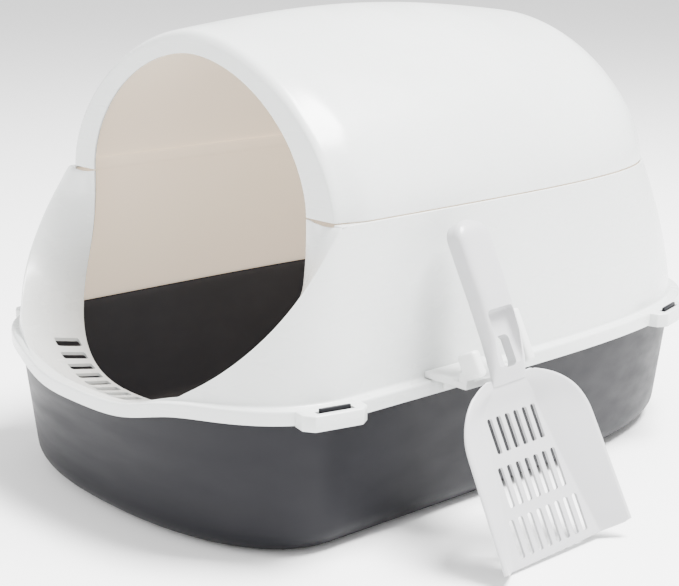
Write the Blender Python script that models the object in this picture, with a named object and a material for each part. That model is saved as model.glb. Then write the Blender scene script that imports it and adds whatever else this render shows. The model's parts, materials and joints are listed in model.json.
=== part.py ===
"""Hooded cat litter box: pan, entry hood, dome, scoop holder and scoop.

X is the width, -Y the entrance side and +Z up. The origin is the centre of the
pan's base. All sizes are in metres.
"""
import math

import bpy
import numpy as np
from mathutils import Vector

# ---------------------------------------------------------------- driving dimensions
LENGTH = 0.600            # flange to flange, front to back
WIDTH = 0.3906            # flange to flange, at the widest place
FRONT_DEPTH = 0.1127      # from the front of the flange back to the widest place
FRONT_POWER = (2.27, 2.36)  # roundness of the front half, across and along
REAR_POWER = (3.54, 4.37)   # roundness of the rear half, across and along

SKIRT_BOTTOM = 0.1080     # lower edge of the hood's skirt
FLANGE_TOP = 0.1188       # top of the hood's flange
FLANGE_WIDTH = 0.0085     # flange, from its edge to the hood's wall
FRONT_DIP = 0.0137        # how much the rim drops at the entrance
DIP_HALF_WIDTH = 0.088    # where the dip has died out, to each side
SEAM_HEIGHT = 0.2424      # parting line between entry hood and dome
SEAM_GAP = 0.0006         # clearance at the parting line
WALL = 0.0024             # wall of the hood pieces

SIDE_LEAN = 0.0095        # hood wall leans in by this, flange to seam
REAR_LEAN = 0.0430        # the same at the back
FACE_Y = -0.1880          # upright front face around the entrance
ENTRY_SLOPE = 1.31        # fall of the collar's edge per metre forward
SHOULDER = 0.0015         # entry hood stands proud of the dome at the seam

OPENING_HALF = 0.1385     # entrance, half width at the seam
OPENING_RISE = 0.1073     # entrance, height of the arch above the seam
OPENING_POWER = 1.84
OPENING_SIDE = 0.0620     # straight-sided length below the seam
OPENING_DROP = 0.0950     # rounded length below that
OPENING_LOW_POWER = 2.4
OPENING_SWEEP = 0.0550    # how far the opening's lower edge comes forward

ARCH_HALF = 0.1695        # outer edge of the front face, half width at the seam
ARCH_RISE = 0.1248
ARCH_POWER = 1.77
ROOF_CROWN = 0.0130       # roof rises by this behind the front face
REAR_ROUND = 0.0935       # rounding of the dome's back
TONGUE_DEPTH = 0.0070     # dome's tongue inside the entry hood

PAN_GAP = 0.0067          # pan's wall inside the edge of the flange
PAN_TAPER = 0.0130        # pan's wall leans in by this, rim to base
PAN_ROUND = 0.0200        # radius between the pan's wall and base
PAN_WALL = 0.0026
PAN_RIM = 0.1158          # pan's rim, at the sides and back

EAR_PLACES = (-0.2120, 0.1900)  # where the clip ears sit along the length
EAR_LENGTH = 0.0520
EAR_REACH = 0.0130        # ear beyond the flange's edge
EAR_SLOT = (0.0300, 0.0050)
TONGUE_SIZE = (0.0250, 0.0026)
TONGUE_TOP = 0.1212

LEDGE_SLOTS = 14
LEDGE_SLOT_WIDTH = 0.0088
LEDGE_SLOT_LENGTH = 0.0215
LEDGE_SLOT_PITCH = 0.0155
LEDGE_SLOT_Y = -0.2578    # middle of the row, which bows back at its ends

SCOOP_TILT = math.radians(25.7)
SCOOP_ROLL = math.radians(2.0)
SCOOP_NECK = (0.2431, -0.0840, 0.1264)  # where handle and blade meet
SCOOP_WALL = 0.0022
HANDLE_LENGTH = 0.1190
HANDLE_WIDTH = 0.0340
HANDLE_THICK = 0.0160
BLADE_LENGTH = 0.1310
LUG_PLACE = 0.0265        # holder's lugs, to each side of the scoop's middle
LUG_WIDTH = 0.0090
LUG_FORWARD = -0.0050     # middle of a lug, out from the handle's back
LUGS = ((-1, 0.0200), (1, 0.0410))  # side and length of each

AROUND = 72               # points around each outline
FRONT_CENTRE = -LENGTH / 2
WIDEST_Y = FRONT_CENTRE + FRONT_DEPTH


# ---------------------------------------------------------------- helpers
def clear_scene():
    for thing in list(bpy.data.objects):
        bpy.data.objects.remove(thing, do_unlink=True)


def finish(name, colour, roughness):
    """A plain moulded plastic."""
    material = bpy.data.materials.new(name)
    material.use_nodes = True
    shader = material.node_tree.nodes["Principled BSDF"]
    shader.inputs["Base Color"].default_value = (*colour, 1.0)
    shader.inputs["Roughness"].default_value = roughness
    shader.inputs["Metallic"].default_value = 0.0
    return material


def add_object(name, points, faces, material=None):
    mesh = bpy.data.meshes.new(name)
    mesh.from_pydata([tuple(map(float, p)) for p in points], [], faces)
    mesh.validate()
    thing = bpy.data.objects.new(name, mesh)
    bpy.context.scene.collection.objects.link(thing)
    if material is not None:
        mesh.materials.append(material)
    return thing


def hide_cutter(cutter):
    cutter.hide_render = True
    cutter.display_type = "WIRE"


def boolean(target, tool, operation):
    hide_cutter(tool)
    step = target.modifiers.new(operation.lower(), "BOOLEAN")
    step.operation = operation
    step.object = tool
    step.solver = "EXACT"


def solidify(target, thickness, offset=-1.0):
    step = target.modifiers.new("wall", "SOLIDIFY")
    step.thickness = thickness
    step.offset = offset
    step.use_even_offset = True


def block(name, centre, size, along=(1, 0, 0), up=(0, 0, 1)):
    """A box with its length on 'along' and its height on 'up'."""
    along = Vector(along).normalized()
    up = Vector(up).normalized()
    across = up.cross(along).normalized()
    up = along.cross(across).normalized()
    corners = []
    for i in (-0.5, 0.5):
        for j in (-0.5, 0.5):
            for k in (-0.5, 0.5):
                corners.append(Vector(centre) + along * size[0] * i + across * size[1] * j + up * size[2] * k)
    faces = [(0, 1, 3, 2), (4, 6, 7, 5), (0, 4, 5, 1), (2, 3, 7, 6), (0, 2, 6, 4), (1, 5, 7, 3)]
    return add_object(name, corners, faces)


def grid_faces(rows, columns, closed, first=0, flip=False):
    """Quads of a grid whose points are stored row after row."""
    faces = []
    span = columns if closed else columns - 1
    for r in range(rows - 1):
        for c in range(span):
            a = first + r * columns + c
            b = first + r * columns + (c + 1) % columns
            quad = (a, b, b + columns, a + columns)
            faces.append(quad[::-1] if flip else quad)
    return faces


def shell_object(name, outer, inner, faces, material):
    """Closed wall between two skins that share their faces, joined along the open edges."""
    count = len(outer)
    directed = {(face[k], face[(k + 1) % len(face)]) for face in faces for k in range(len(face))}
    closed = list(faces) + [tuple(count + v for v in reversed(face)) for face in faces]
    for a, b in directed:
        if (b, a) not in directed:
            closed.append((b, a, a + count, b + count))
    return add_object(name, list(outer) + list(inner), closed, material)


def skin_normals(points, faces):
    """Unit normals of a skin's points, from the faces around each."""
    normals = [Vector((0.0, 0.0, 0.0)) for _ in points]
    for face in faces:
        corners = [Vector(points[v]) for v in face]
        normal = Vector((0.0, 0.0, 0.0))
        for k in range(1, len(corners) - 1):
            normal += (corners[k] - corners[0]).cross(corners[k + 1] - corners[0])
        if normal.length > 1e-14:
            normal.normalize()
        for v in face:
            normals[v] += normal
    return [n.normalized() if n.length > 1e-9 else n for n in normals]


def smoothstep(value):
    value = min(1.0, max(0.0, value))
    return value * value * (3.0 - 2.0 * value)


# ---------------------------------------------------------------- plan of the box
def plan(angle, side=0.0, front=None, rear=None):
    """Point of the flange's outline, moved in by side, front and rear."""
    front = side if front is None else front
    rear = side if rear is None else rear
    c, s = math.cos(angle), math.sin(angle)
    at_front = s < 0.0
    across, along = FRONT_POWER if at_front else REAR_POWER
    reach = FRONT_DEPTH - front if at_front else LENGTH - FRONT_DEPTH - rear
    x = math.copysign((WIDTH / 2 - side) * abs(c) ** (2.0 / across), c)
    y = WIDEST_Y + math.copysign(reach * abs(s) ** (2.0 / along), s)
    return x, y


def even_angles(count, start, stop):
    """Angles that space points evenly along the outline between two angles."""
    fine = np.linspace(start, stop, 6000)
    places = np.array([plan(a) for a in fine])
    run = np.concatenate([[0.0], np.cumsum(np.hypot(*np.diff(places, axis=0).T))])
    return np.interp(np.linspace(0.0, run[-1], count), run, fine)


def dip(x, y):
    """Drop of the rim at the entrance."""
    if y > WIDEST_Y:
        return 0.0
    return FRONT_DIP * math.exp(-abs(x / DIP_HALF_WIDTH) ** 4)


def lean(height):
    """Part of the wall's lean reached at a height, 0 at the flange to 1 at the seam."""
    return (height - FLANGE_TOP) / (SEAM_HEIGHT - FLANGE_TOP)


def wall_point(angle, height):
    part = lean(height)
    inset = FLANGE_WIDTH * front_flange(angle)
    return plan(angle, inset + SIDE_LEAN * part, inset * 0.6 + 0.020 * part, inset + REAR_LEAN * part ** 1.6)


def front_flange(angle):
    """The flange fades into the lip at the entrance: 0 at its middle, 1 elsewhere."""
    x, y = plan(angle)
    if y > WIDEST_Y:
        return 1.0
    return 0.25 + 0.75 * smoothstep((abs(x) - 0.05) / 0.07)


def collar_height(y):
    """Height of the collar's edge: a slanting cut through the hood."""
    return SEAM_HEIGHT - ENTRY_SLOPE * (FACE_Y - y)


def collar_point(angle):
    """Where the hood's wall meets the slanting cut."""
    low, high = FLANGE_TOP - FRONT_DIP, SEAM_HEIGHT
    for _ in range(40):
        middle = (low + high) / 2
        if collar_height(wall_point(angle, middle)[1]) > middle:
            low = middle
        else:
            high = middle
    x, y = wall_point(angle, low)
    return x, y, max(low, FLANGE_TOP - dip(x, y) + 0.0030)


# ---------------------------------------------------------------- entrance outline
def opening_low(part):
    """Lower edge of the entrance, from the right end of the seam (0) to the left (1)."""
    fine = np.linspace(0.0, math.pi, 721)
    track = []
    for a in fine:
        c, s = math.cos(a), math.sin(a)
        x = math.copysign(OPENING_HALF * abs(c) ** (2 / OPENING_LOW_POWER), c)
        z = SEAM_HEIGHT - OPENING_SIDE - OPENING_DROP * abs(s) ** (2 / OPENING_LOW_POWER)
        track.append((x, z))
    track = [(OPENING_HALF, SEAM_HEIGHT)] + track + [(-OPENING_HALF, SEAM_HEIGHT)]
    track = np.array(track)
    run = np.concatenate([[0.0], np.cumsum(np.hypot(*np.diff(track, axis=0).T))])
    x = float(np.interp(part * run[-1], run, track[:, 0]))
    z = float(np.interp(part * run[-1], run, track[:, 1]))
    fall = (SEAM_HEIGHT - z) / (OPENING_SIDE + OPENING_DROP)
    return x, FACE_Y - OPENING_SWEEP * fall ** 2.5, z


def opening_high(angle):
    """Arch of the entrance in the dome's face, angle 0 at the right."""
    c, s = math.cos(angle), math.sin(angle)
    x = math.copysign(OPENING_HALF * abs(c) ** (2 / OPENING_POWER), c)
    return x, FACE_Y, SEAM_HEIGHT + SEAM_GAP + OPENING_RISE * abs(s) ** (2 / OPENING_POWER)


# ---------------------------------------------------------------- litter pan
def build_pan(material):
    angles = even_angles(AROUND + 1, 0.0, 2 * math.pi)[:-1]
    levels = []
    steps = 4
    for k in range(steps + 1):
        turn = math.pi / 2 * k / steps
        levels.append((PAN_ROUND * (1 - math.sin(turn)), PAN_ROUND * (1 - math.cos(turn))))
    points = []

    def loop(inward, rise, drop_with_rim):
        for a in angles:
            part = min(1.0, max(0.0, rise / PAN_RIM))
            taper = PAN_TAPER * (1 - part)
            x, y = plan(a, PAN_GAP + taper + inward)
            z = rise - (1.25 * dip(x, y) if drop_with_rim else 0.0)
            points.append((x, y, z))

    for inward, rise in levels:
        loop(inward, rise, False)
    loop(0.0, PAN_RIM * 0.6, False)
    loop(0.0, PAN_RIM, True)
    loop(PAN_WALL, PAN_RIM, True)
    loop(PAN_WALL, PAN_RIM * 0.6, False)
    for inward, rise in reversed(levels):
        loop(inward + PAN_WALL, rise + PAN_WALL, False)
    rows = len(points) // AROUND
    faces = grid_faces(rows, AROUND, True)
    faces.append(tuple(range(AROUND))[::-1])
    last = (rows - 1) * AROUND
    faces.append(tuple(last + k for k in range(AROUND)))
    pan = add_object("litter_pan", points, faces, material)
    for number, (place, across, outward) in enumerate(ear_frames()):
        centre = place + outward * 0.0055
        root = centre - outward * 0.0065
        shelf = block(f"shelf_{number}", (root.x, root.y, 0.1108),
                      (TONGUE_SIZE[0] - 0.0010, 0.0150, 0.0030), across)
        tongue = block(f"tongue_{number}", (centre.x, centre.y, (0.1100 + TONGUE_TOP) / 2),
                       (TONGUE_SIZE[0], TONGUE_SIZE[1], TONGUE_TOP - 0.1100), across)
        boolean(pan, shelf, "UNION")
        boolean(pan, tongue, "UNION")
    return pan


# ---------------------------------------------------------------- clip ears
def ear_frames():
    """Middle of each ear on the flange's edge, with its along and outward directions."""
    frames = []
    for y in EAR_PLACES:
        for side in (1, -1):
            low, high = (-math.pi / 2, 0.0) if y < WIDEST_Y else (0.0, math.pi / 2)
            for _ in range(50):
                middle = (low + high) / 2
                if plan(middle)[1] < y:
                    low = middle
                else:
                    high = middle
            here = Vector((*plan(low), 0.0))
            ahead = Vector((*plan(low + 0.002), 0.0))
            along = (ahead - here).normalized()
            outward = Vector((along.y, -along.x, 0.0))
            mirror = Vector((side, 1, 1))
            frames.append((here * mirror, along * mirror, outward * mirror))
    return frames


def ear_shell(number, place, along, outward):
    """Hollow ear, open below, with chamfered ends; and the hollow itself."""
    def slab(name, half, reach, inner, bottom, top, chamfer):
        outline = [(-half, -inner), (half, -inner), (half, reach - chamfer), (half - chamfer, reach),
                   (-half + chamfer, reach), (-half, reach - chamfer)]
        points = []
        for z in (bottom, top):
            for u, v in outline:
                spot = place + along * u + outward * v
                points.append((spot.x, spot.y, z))
        count = len(outline)
        faces = [tuple(range(count)), tuple(range(2 * count - 1, count - 1, -1))]
        for k in range(count):
            nxt = (k + 1) % count
            faces.append((k, k + count, nxt + count, nxt))
        if along.cross(outward).z < 0:
            faces = [face[::-1] for face in faces]
        return add_object(name, points, [face[::-1] for face in faces])

    half = EAR_LENGTH / 2
    outer = slab(f"ear_{number}", half, EAR_REACH, 0.0056, SKIRT_BOTTOM - 0.0015,
                 FLANGE_TOP - 0.0004, 0.007)
    hollow = slab(f"ear_hollow_{number}", half - WALL, EAR_REACH - WALL, 0.0080,
                  SKIRT_BOTTOM - 0.0100, FLANGE_TOP - WALL - 0.0005, 0.006)
    centre = place + outward * 0.0055
    slot = block(f"ear_slot_{number}", (centre.x, centre.y, FLANGE_TOP), (*EAR_SLOT, 0.02), along)
    return outer, hollow, slot


# ---------------------------------------------------------------- entry hood
def build_entry_hood(material):
    """Flange, leaning wall and the sheet that sweeps forward around the entrance."""
    corner = -math.asin(abs((WIDEST_Y - FACE_Y) / FRONT_DEPTH) ** (FRONT_POWER[1] / 2))
    right, left = corner, -math.pi - corner
    front_count = AROUND // 2 + 1
    front = even_angles(front_count, left, right)
    back = even_angles(AROUND - front_count + 2, right, left + 2 * math.pi)[1:-1]
    angles = list(front) + list(back)
    count = len(angles)
    top_height = SEAM_HEIGHT - SEAM_GAP
    tops = []
    for k, a in enumerate(angles):
        if 0 < k < front_count - 1:
            tops.append(Vector(collar_point(a)))
        else:
            tops.append(Vector((*wall_point(a, top_height), top_height)))
    sheet = [tops[:front_count]]
    sheet_rows = 5
    for row in range(1, sheet_rows + 1):
        line = []
        for k in range(front_count):
            end = Vector(opening_low(1 - k / (front_count - 1)))
            end.z = min(end.z, top_height)
            line.append(tops[k].lerp(end, row / sheet_rows))
        sheet.append(line)
    sheet_points = [p for line in sheet for p in line]
    sheet_normals = skin_normals(sheet_points, grid_faces(sheet_rows + 1, front_count, False))
    outer, inner = [], []
    for height, inset, under in ((SKIRT_BOTTOM, 0.0, 0.0), (FLANGE_TOP - 0.0012, 0.0, WALL - 0.0012),
                                 (FLANGE_TOP, 0.0012, WALL)):
        for a in angles:
            x, y = plan(a, inset)
            drop = dip(x, y)
            outer.append(Vector((x, y, height - drop)))
            inner.append(Vector((*plan(a, inset + WALL), height - drop - under)))
    wall_rows = 6
    for row in range(wall_rows):
        part = row / (wall_rows - 1)
        for k, a in enumerate(angles):
            inset = FLANGE_WIDTH * front_flange(a)
            base = Vector((*plan(a, inset, inset * 0.6), 0.0))
            base.z = FLANGE_TOP + 0.0002 - dip(base.x, base.y)
            z = base.z + (tops[k].z - base.z) * part
            spot = Vector((*wall_point(a, z), z)) if row else base
            if row == wall_rows - 1:
                spot = tops[k]
            outer.append(spot)
            outward = (Vector(plan(a)) - Vector(plan(a, 0.01))).to_3d().normalized()
            inside = spot - outward * WALL
            floor = base.z - WALL - 0.0002
            if 0 < k < front_count - 1:
                bend = sheet_normals[k]
                miter = (outward + bend) / max(0.45, 1 + outward.dot(bend))
                lip = tops[k] - miter * WALL
                inside = spot - outward * WALL * (1 - part) - miter * WALL * part
                inside.z = floor + (lip.z - floor) * part
            else:
                inside.z = floor + (top_height - floor) * part
                if k in (0, front_count - 1):
                    inside.y += WALL * part
            inner.append(inside)
    faces = grid_faces(3 + wall_rows, count, True)
    crest = (2 + wall_rows) * count
    first = len(outer)
    for row in range(1, sheet_rows + 1):
        for k in range(front_count):
            index = row * front_count + k
            normal = sheet_normals[index]
            if k in (0, front_count - 1):
                normal = Vector((0, -1, 0))
            outer.append(sheet_points[index])
            inner.append(sheet_points[index] - normal * WALL)
    for row in range(sheet_rows):
        for k in range(front_count - 1):
            if row == 0:
                a, b = crest + k, crest + k + 1
            else:
                a = first + (row - 1) * front_count + k
                b = a + 1
            c = first + row * front_count + k + 1
            faces.append((a, b, c, c - 1))
    hood = shell_object("entry_hood", outer, inner, faces, material)
    for number, (place, along, outward) in enumerate(ear_frames()):
        ear, hollow, slot = ear_shell(number, place, along, outward)
        boolean(hood, ear, "UNION")
        boolean(hood, hollow, "DIFFERENCE")
        boolean(hood, slot, "DIFFERENCE")
    for number in range(LEDGE_SLOTS):
        boolean(hood, ledge_slot(number), "DIFFERENCE")
    return hood


def ledge_slot(number):
    """Cutter of one drain slot in the ledge inside the lip."""
    x = LEDGE_SLOT_PITCH * (number - (LEDGE_SLOTS - 1) / 2)
    y = LEDGE_SLOT_Y + 1.40 * x * x
    return block(f"ledge_slot_{number}", (x, y, 0.100), (LEDGE_SLOT_WIDTH, LEDGE_SLOT_LENGTH, 0.070),
                 (1.0, 1.6 * x, 0.0))


# ---------------------------------------------------------------- dome
def roof_height(x, y):
    """Height of the dome's skin above the seam."""
    rear = LENGTH / 2 - FLANGE_WIDTH - REAR_LEAN
    run = min(1.0, max(0.0, (y - FACE_Y) / (rear - FACE_Y)))
    height = ARCH_RISE + ROOF_CROWN * math.sin(math.pi * min(1.0, run * 1.25))
    behind = rear - y
    if behind < REAR_ROUND:
        height *= math.sqrt(max(0.0, 1 - ((REAR_ROUND - behind) / REAR_ROUND) ** 2))
    half = dome_half(y)
    across = min(1.0, abs(x) / max(half, 1e-6))
    return height * (1 - across ** ARCH_POWER) ** (1 / ARCH_POWER)


def dome_half(y):
    """Half width of the dome at the seam."""
    inset = FLANGE_WIDTH + SIDE_LEAN + SHOULDER
    rear = LENGTH - FRONT_DEPTH - FLANGE_WIDTH - REAR_LEAN - SHOULDER
    if y < WIDEST_Y:
        return WIDTH / 2 - inset
    along = min(1.0, (y - WIDEST_Y) / rear)
    full = (WIDTH / 2 - inset) * (1 - along ** REAR_POWER[1]) ** (1 / REAR_POWER[0])
    corner = smoothstep((y - FACE_Y) / 0.03)
    return min(full, ARCH_HALF + (full - ARCH_HALF) * corner) if corner < 1.0 else full


def build_dome(material):
    """Skin from the seam to the roof's middle, the front face and the tongue."""
    seam = SEAM_HEIGHT + SEAM_GAP
    arch_count = AROUND // 2 + 1
    inset = FLANGE_WIDTH + SIDE_LEAN + SHOULDER
    rear_inset = FLANGE_WIDTH + REAR_LEAN + SHOULDER
    back = even_angles(AROUND - arch_count + 2, 0.0, math.pi)[1:-1]
    edge = []
    for k in range(arch_count):
        a = math.pi * (1 - k / (arch_count - 1))
        c, s = math.cos(a), math.sin(a)
        x = math.copysign(ARCH_HALF * abs(c) ** (2 / ARCH_POWER), c)
        edge.append((x, FACE_Y, seam + ARCH_RISE * abs(s) ** (2 / ARCH_POWER)))
    for a in back:
        x, y = plan(a, inset, inset, rear_inset)
        if abs(x) > 1e-6:
            x = math.copysign(min(abs(x), dome_half(y)), x)
        edge.append((x, y, seam))
    middle_y = 0.02
    rows = 9
    points = list(edge)
    count = len(edge)
    for row in range(1, rows):
        turn = math.pi / 2 * row / rows
        keep = math.cos(turn)
        for x, y, _ in edge:
            px = x * keep
            py = middle_y + (y - middle_y) * keep
            points.append((px, py, seam + roof_height(px, py)))
    faces = grid_faces(rows, count, True)
    points.append((0.0, middle_y, seam + roof_height(0.0, middle_y)))
    pole = len(points) - 1
    last = (rows - 1) * count
    for c in range(count):
        faces.append((last + c, last + (c + 1) % count, pole))
    first = len(points)
    ring_rows = 2
    for row in range(1, ring_rows + 1):
        for k in range(arch_count):
            start = Vector(edge[k])
            end = Vector(opening_high(math.pi * (1 - k / (arch_count - 1))))
            points.append(start.lerp(end, row / ring_rows))
    for row in range(ring_rows):
        for k in range(arch_count - 1):
            if row == 0:
                a, b = k, k + 1
            else:
                a = first + (row - 1) * arch_count + k
                b = a + 1
            c = first + row * arch_count + k + 1
            faces.append((b, a, c - 1, c))
    first = len(points)
    back_edge = edge[arch_count:]
    inward = WALL - SHOULDER + 0.0009
    for depth in (0.0, TONGUE_DEPTH):
        for x, y, z in back_edge:
            length = math.hypot(x, y - middle_y)
            scale = (length - inward) / length
            points.append((x * scale, middle_y + (y - middle_y) * scale, z - depth))
    width = len(back_edge)
    for k in range(width - 1):
        a = arch_count + k
        b = first + k
        faces.append((b, b + 1, a + 1, a))
        faces.append((b + width, b + width + 1, b + 1, b))
    dome = add_object("dome", points, faces, material)
    solidify(dome, WALL * 0.9)
    return dome


# ---------------------------------------------------------------- scoop and holder
def scoop_axes():
    """Down the scoop, across it and out of its face."""
    down = Vector((math.sin(SCOOP_TILT), math.sin(SCOOP_ROLL), -math.cos(SCOOP_TILT))).normalized()
    across = Vector((0.0, 1.0, 0.0))
    across = (across - down * across.dot(down)).normalized()
    face = down.cross(across).normalized()
    if face.x < 0:
        face = -face
    return down, across, face


def scoop_spot(s, w, n):
    down, across, face = scoop_axes()
    return Vector(SCOOP_NECK) + down * s + across * w + face * n


def blade_half(s):
    """Half width of the blade's top edge."""
    shoulder = 0.0660 * (1 - (1 - min(1.0, (s + 0.004) / 0.050)) ** 2.2) ** (1 / 2.0)
    return max(0.018, shoulder) + 0.004 * max(0.0, s) / BLADE_LENGTH


def floor_half(s):
    """Half width of the blade's flat floor."""
    return 0.0160 + 0.010 * smoothstep(s / 0.02) + 0.0230 * max(0.0, s / BLADE_LENGTH) ** 1.3


def blade_wall(s):
    return 0.0140 * smoothstep((s + 0.004) / 0.03) + 0.0010


def floor_drop(s):
    """How far the blade's floor lies behind the handle's back."""
    return 0.0090 * smoothstep(s / 0.026)


def build_scoop(material):
    stations = [0.0, 0.004, 0.010, 0.018, 0.028, 0.042, 0.060, 0.080, 0.100, 0.120, BLADE_LENGTH]
    points = []
    columns = 9
    for s in stations:
        floor, edge, wall = floor_half(s), blade_half(s), blade_wall(s)
        edge = max(edge, floor + 0.002)
        for w, n in ((-edge, wall), (-floor - (edge - floor) * 0.55, wall * 0.45), (-floor, 0.0),
                     (-floor * 0.5, 0.0), (0.0, 0.0), (floor * 0.5, 0.0), (floor, 0.0),
                     (floor + (edge - floor) * 0.55, wall * 0.45), (edge, wall)):
            points.append(scoop_spot(s, w, n - floor_drop(s)))
    faces = grid_faces(len(stations), columns, False, flip=True)
    scoop = add_object("scoop", points, faces, material)
    solidify(scoop, SCOOP_WALL)
    boolean(scoop, build_handle(), "UNION")
    eye = block("hanging_eye", scoop_spot(-0.0185, 0.0, 0.0040), (0.0240, 0.0130, 0.0400),
                scoop_axes()[0], scoop_axes()[2])
    boolean(scoop, eye, "DIFFERENCE")
    for row, (start, stop, count, pitch) in enumerate(
            ((0.0245, 0.0510, 6, 0.0094), (0.0600, 0.0900, 7, 0.0096), (0.0975, 0.1260, 8, 0.0100))):
        for k in range(count):
            w = (k - (count - 1) / 2) * pitch
            slot = block(f"scoop_slot_{row}_{k}", scoop_spot((start + stop) / 2, w, -floor_drop(stop)),
                         (stop - start, 0.0052, 0.0120), scoop_axes()[0], scoop_axes()[2])
            boolean(scoop, slot, "DIFFERENCE")
    return scoop


def build_handle():
    """Solid handle with a rounded end, running into the root of the blade."""
    sections = []
    steps = 6
    radius = HANDLE_WIDTH / 2
    for k in range(steps + 1):
        turn = math.pi / 2 * k / steps
        along = -HANDLE_LENGTH + radius * 0.8 * (1 - math.cos(turn))
        sections.append((along, max(0.004, radius * math.sin(turn)), HANDLE_THICK * (0.55 + 0.45 * math.sin(turn))))
    sections += [(-0.060, radius, HANDLE_THICK), (-0.030, radius * 1.02, HANDLE_THICK * 0.9),
                 (-0.008, radius * 1.06, HANDLE_THICK * 0.45), (0.006, radius * 1.12, 0.0030)]
    points = []
    for s, half, thick in sections:
        back = -0.0018
        soft = min(half, thick) * 0.28
        for w, n in ((-half, back + soft), (-half + soft, back), (half - soft, back), (half, back + soft),
                     (half, thick - soft), (half - soft, thick), (-half + soft, thick), (-half, thick - soft)):
            points.append(scoop_spot(s, w, n))
    count = 8
    faces = grid_faces(len(sections), count, True)
    faces.append(tuple(range(count))[::-1])
    last = (len(sections) - 1) * count
    faces.append(tuple(last + k for k in range(count)))
    return add_object("scoop_handle_shape", points, faces)


def build_holder(material):
    """Bracket on the flange with a lug on each side of the scoop's neck."""
    neck_y = SCOOP_NECK[1]
    bottom = FLANGE_TOP + 0.0005
    wall_x = WIDTH / 2 - FLANGE_WIDTH + 0.0004
    plate_end = 0.2305
    plate_half = LUG_PLACE + LUG_WIDTH / 2
    holder = block("scoop_holder", ((wall_x + plate_end) / 2, neck_y, bottom + 0.0025),
                   (plate_end - wall_x, 2 * plate_half, 0.0050))
    holder.data.materials.append(material)
    down, _, face = scoop_axes()
    for side, length in LUGS:
        lug = block(f"lug_{side + 1}", scoop_spot(-0.0060 - length / 2, side * LUG_PLACE, LUG_FORWARD),
                    (length, LUG_WIDTH, 0.0180), down, face)
        boolean(holder, lug, "UNION")
    foot = block("holder_foot", (plate_end - 0.0040, neck_y, bottom + 0.0065),
                 (0.0080, 2 * plate_half - 0.0006, 0.0130))
    boolean(holder, foot, "UNION")
    window = block("holder_window", (plate_end - 0.0020, neck_y, bottom + 0.0150),
                   (0.0300, 2 * LUG_PLACE - LUG_WIDTH, 0.0200))
    boolean(holder, window, "DIFFERENCE")
    hook = block("holder_hook", (WIDTH / 2 + 0.0021, neck_y, bottom - 0.0030), (0.0030, 0.0400, 0.0130))
    boolean(holder, hook, "UNION")
    return holder


def main():
    clear_scene()
    grey = finish("pan_grey", (0.105, 0.107, 0.118), 0.45)
    white = finish("hood_white", (0.86, 0.87, 0.87), 0.30)
    build_pan(grey)
    build_entry_hood(white)
    build_dome(white)
    build_scoop(white)
    build_holder(white)


main()
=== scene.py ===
"""Hooded cat litter box: fine meshes, finishes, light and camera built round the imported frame.

X is the width, -Y the entrance side and +Z up, in metres, with the origin under the pan's middle.
"""

import json
import logging
import math
from dataclasses import dataclass
from enum import Enum
from typing import Iterable, Sequence

import bmesh
import bpy
import numpy as np
from mathutils import Matrix, Vector

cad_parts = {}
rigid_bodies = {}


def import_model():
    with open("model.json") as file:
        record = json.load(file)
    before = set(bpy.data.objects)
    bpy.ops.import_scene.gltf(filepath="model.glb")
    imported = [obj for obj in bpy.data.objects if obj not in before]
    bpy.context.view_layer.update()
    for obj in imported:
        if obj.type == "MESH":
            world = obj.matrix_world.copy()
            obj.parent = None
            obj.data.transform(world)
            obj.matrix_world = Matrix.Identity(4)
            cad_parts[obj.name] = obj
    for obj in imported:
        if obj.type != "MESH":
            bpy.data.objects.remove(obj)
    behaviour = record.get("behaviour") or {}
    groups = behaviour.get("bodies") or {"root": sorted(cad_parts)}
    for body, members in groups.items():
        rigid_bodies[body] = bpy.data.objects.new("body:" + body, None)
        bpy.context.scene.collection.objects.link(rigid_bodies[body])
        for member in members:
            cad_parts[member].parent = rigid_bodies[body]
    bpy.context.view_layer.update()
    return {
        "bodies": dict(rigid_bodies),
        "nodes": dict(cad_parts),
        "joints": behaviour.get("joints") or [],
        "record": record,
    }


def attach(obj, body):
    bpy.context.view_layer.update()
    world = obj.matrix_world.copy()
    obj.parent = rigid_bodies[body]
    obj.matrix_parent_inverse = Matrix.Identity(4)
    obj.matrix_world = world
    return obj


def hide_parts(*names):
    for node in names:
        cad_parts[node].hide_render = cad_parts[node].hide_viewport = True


LOG = logging.getLogger("litter_box")
TINY = 1e-12
BEVEL_TURN = math.radians(28)

Face = tuple[int, ...]
Points = Sequence[Vector]


class Skin(Enum):
    """Which side of a moulded wall a face belongs to; the value is its material slot."""

    OUTSIDE = 0
    INSIDE = 1


class Body(Enum):
    """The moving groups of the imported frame."""

    PAN = "pan"
    HOOD = "hood"
    LID = "lid"
    SHOVEL = "shovel"


class SlotName(Enum):
    """The record's material slots."""

    GREY = "pan_grey"
    WHITE = "hood_white"


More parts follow.
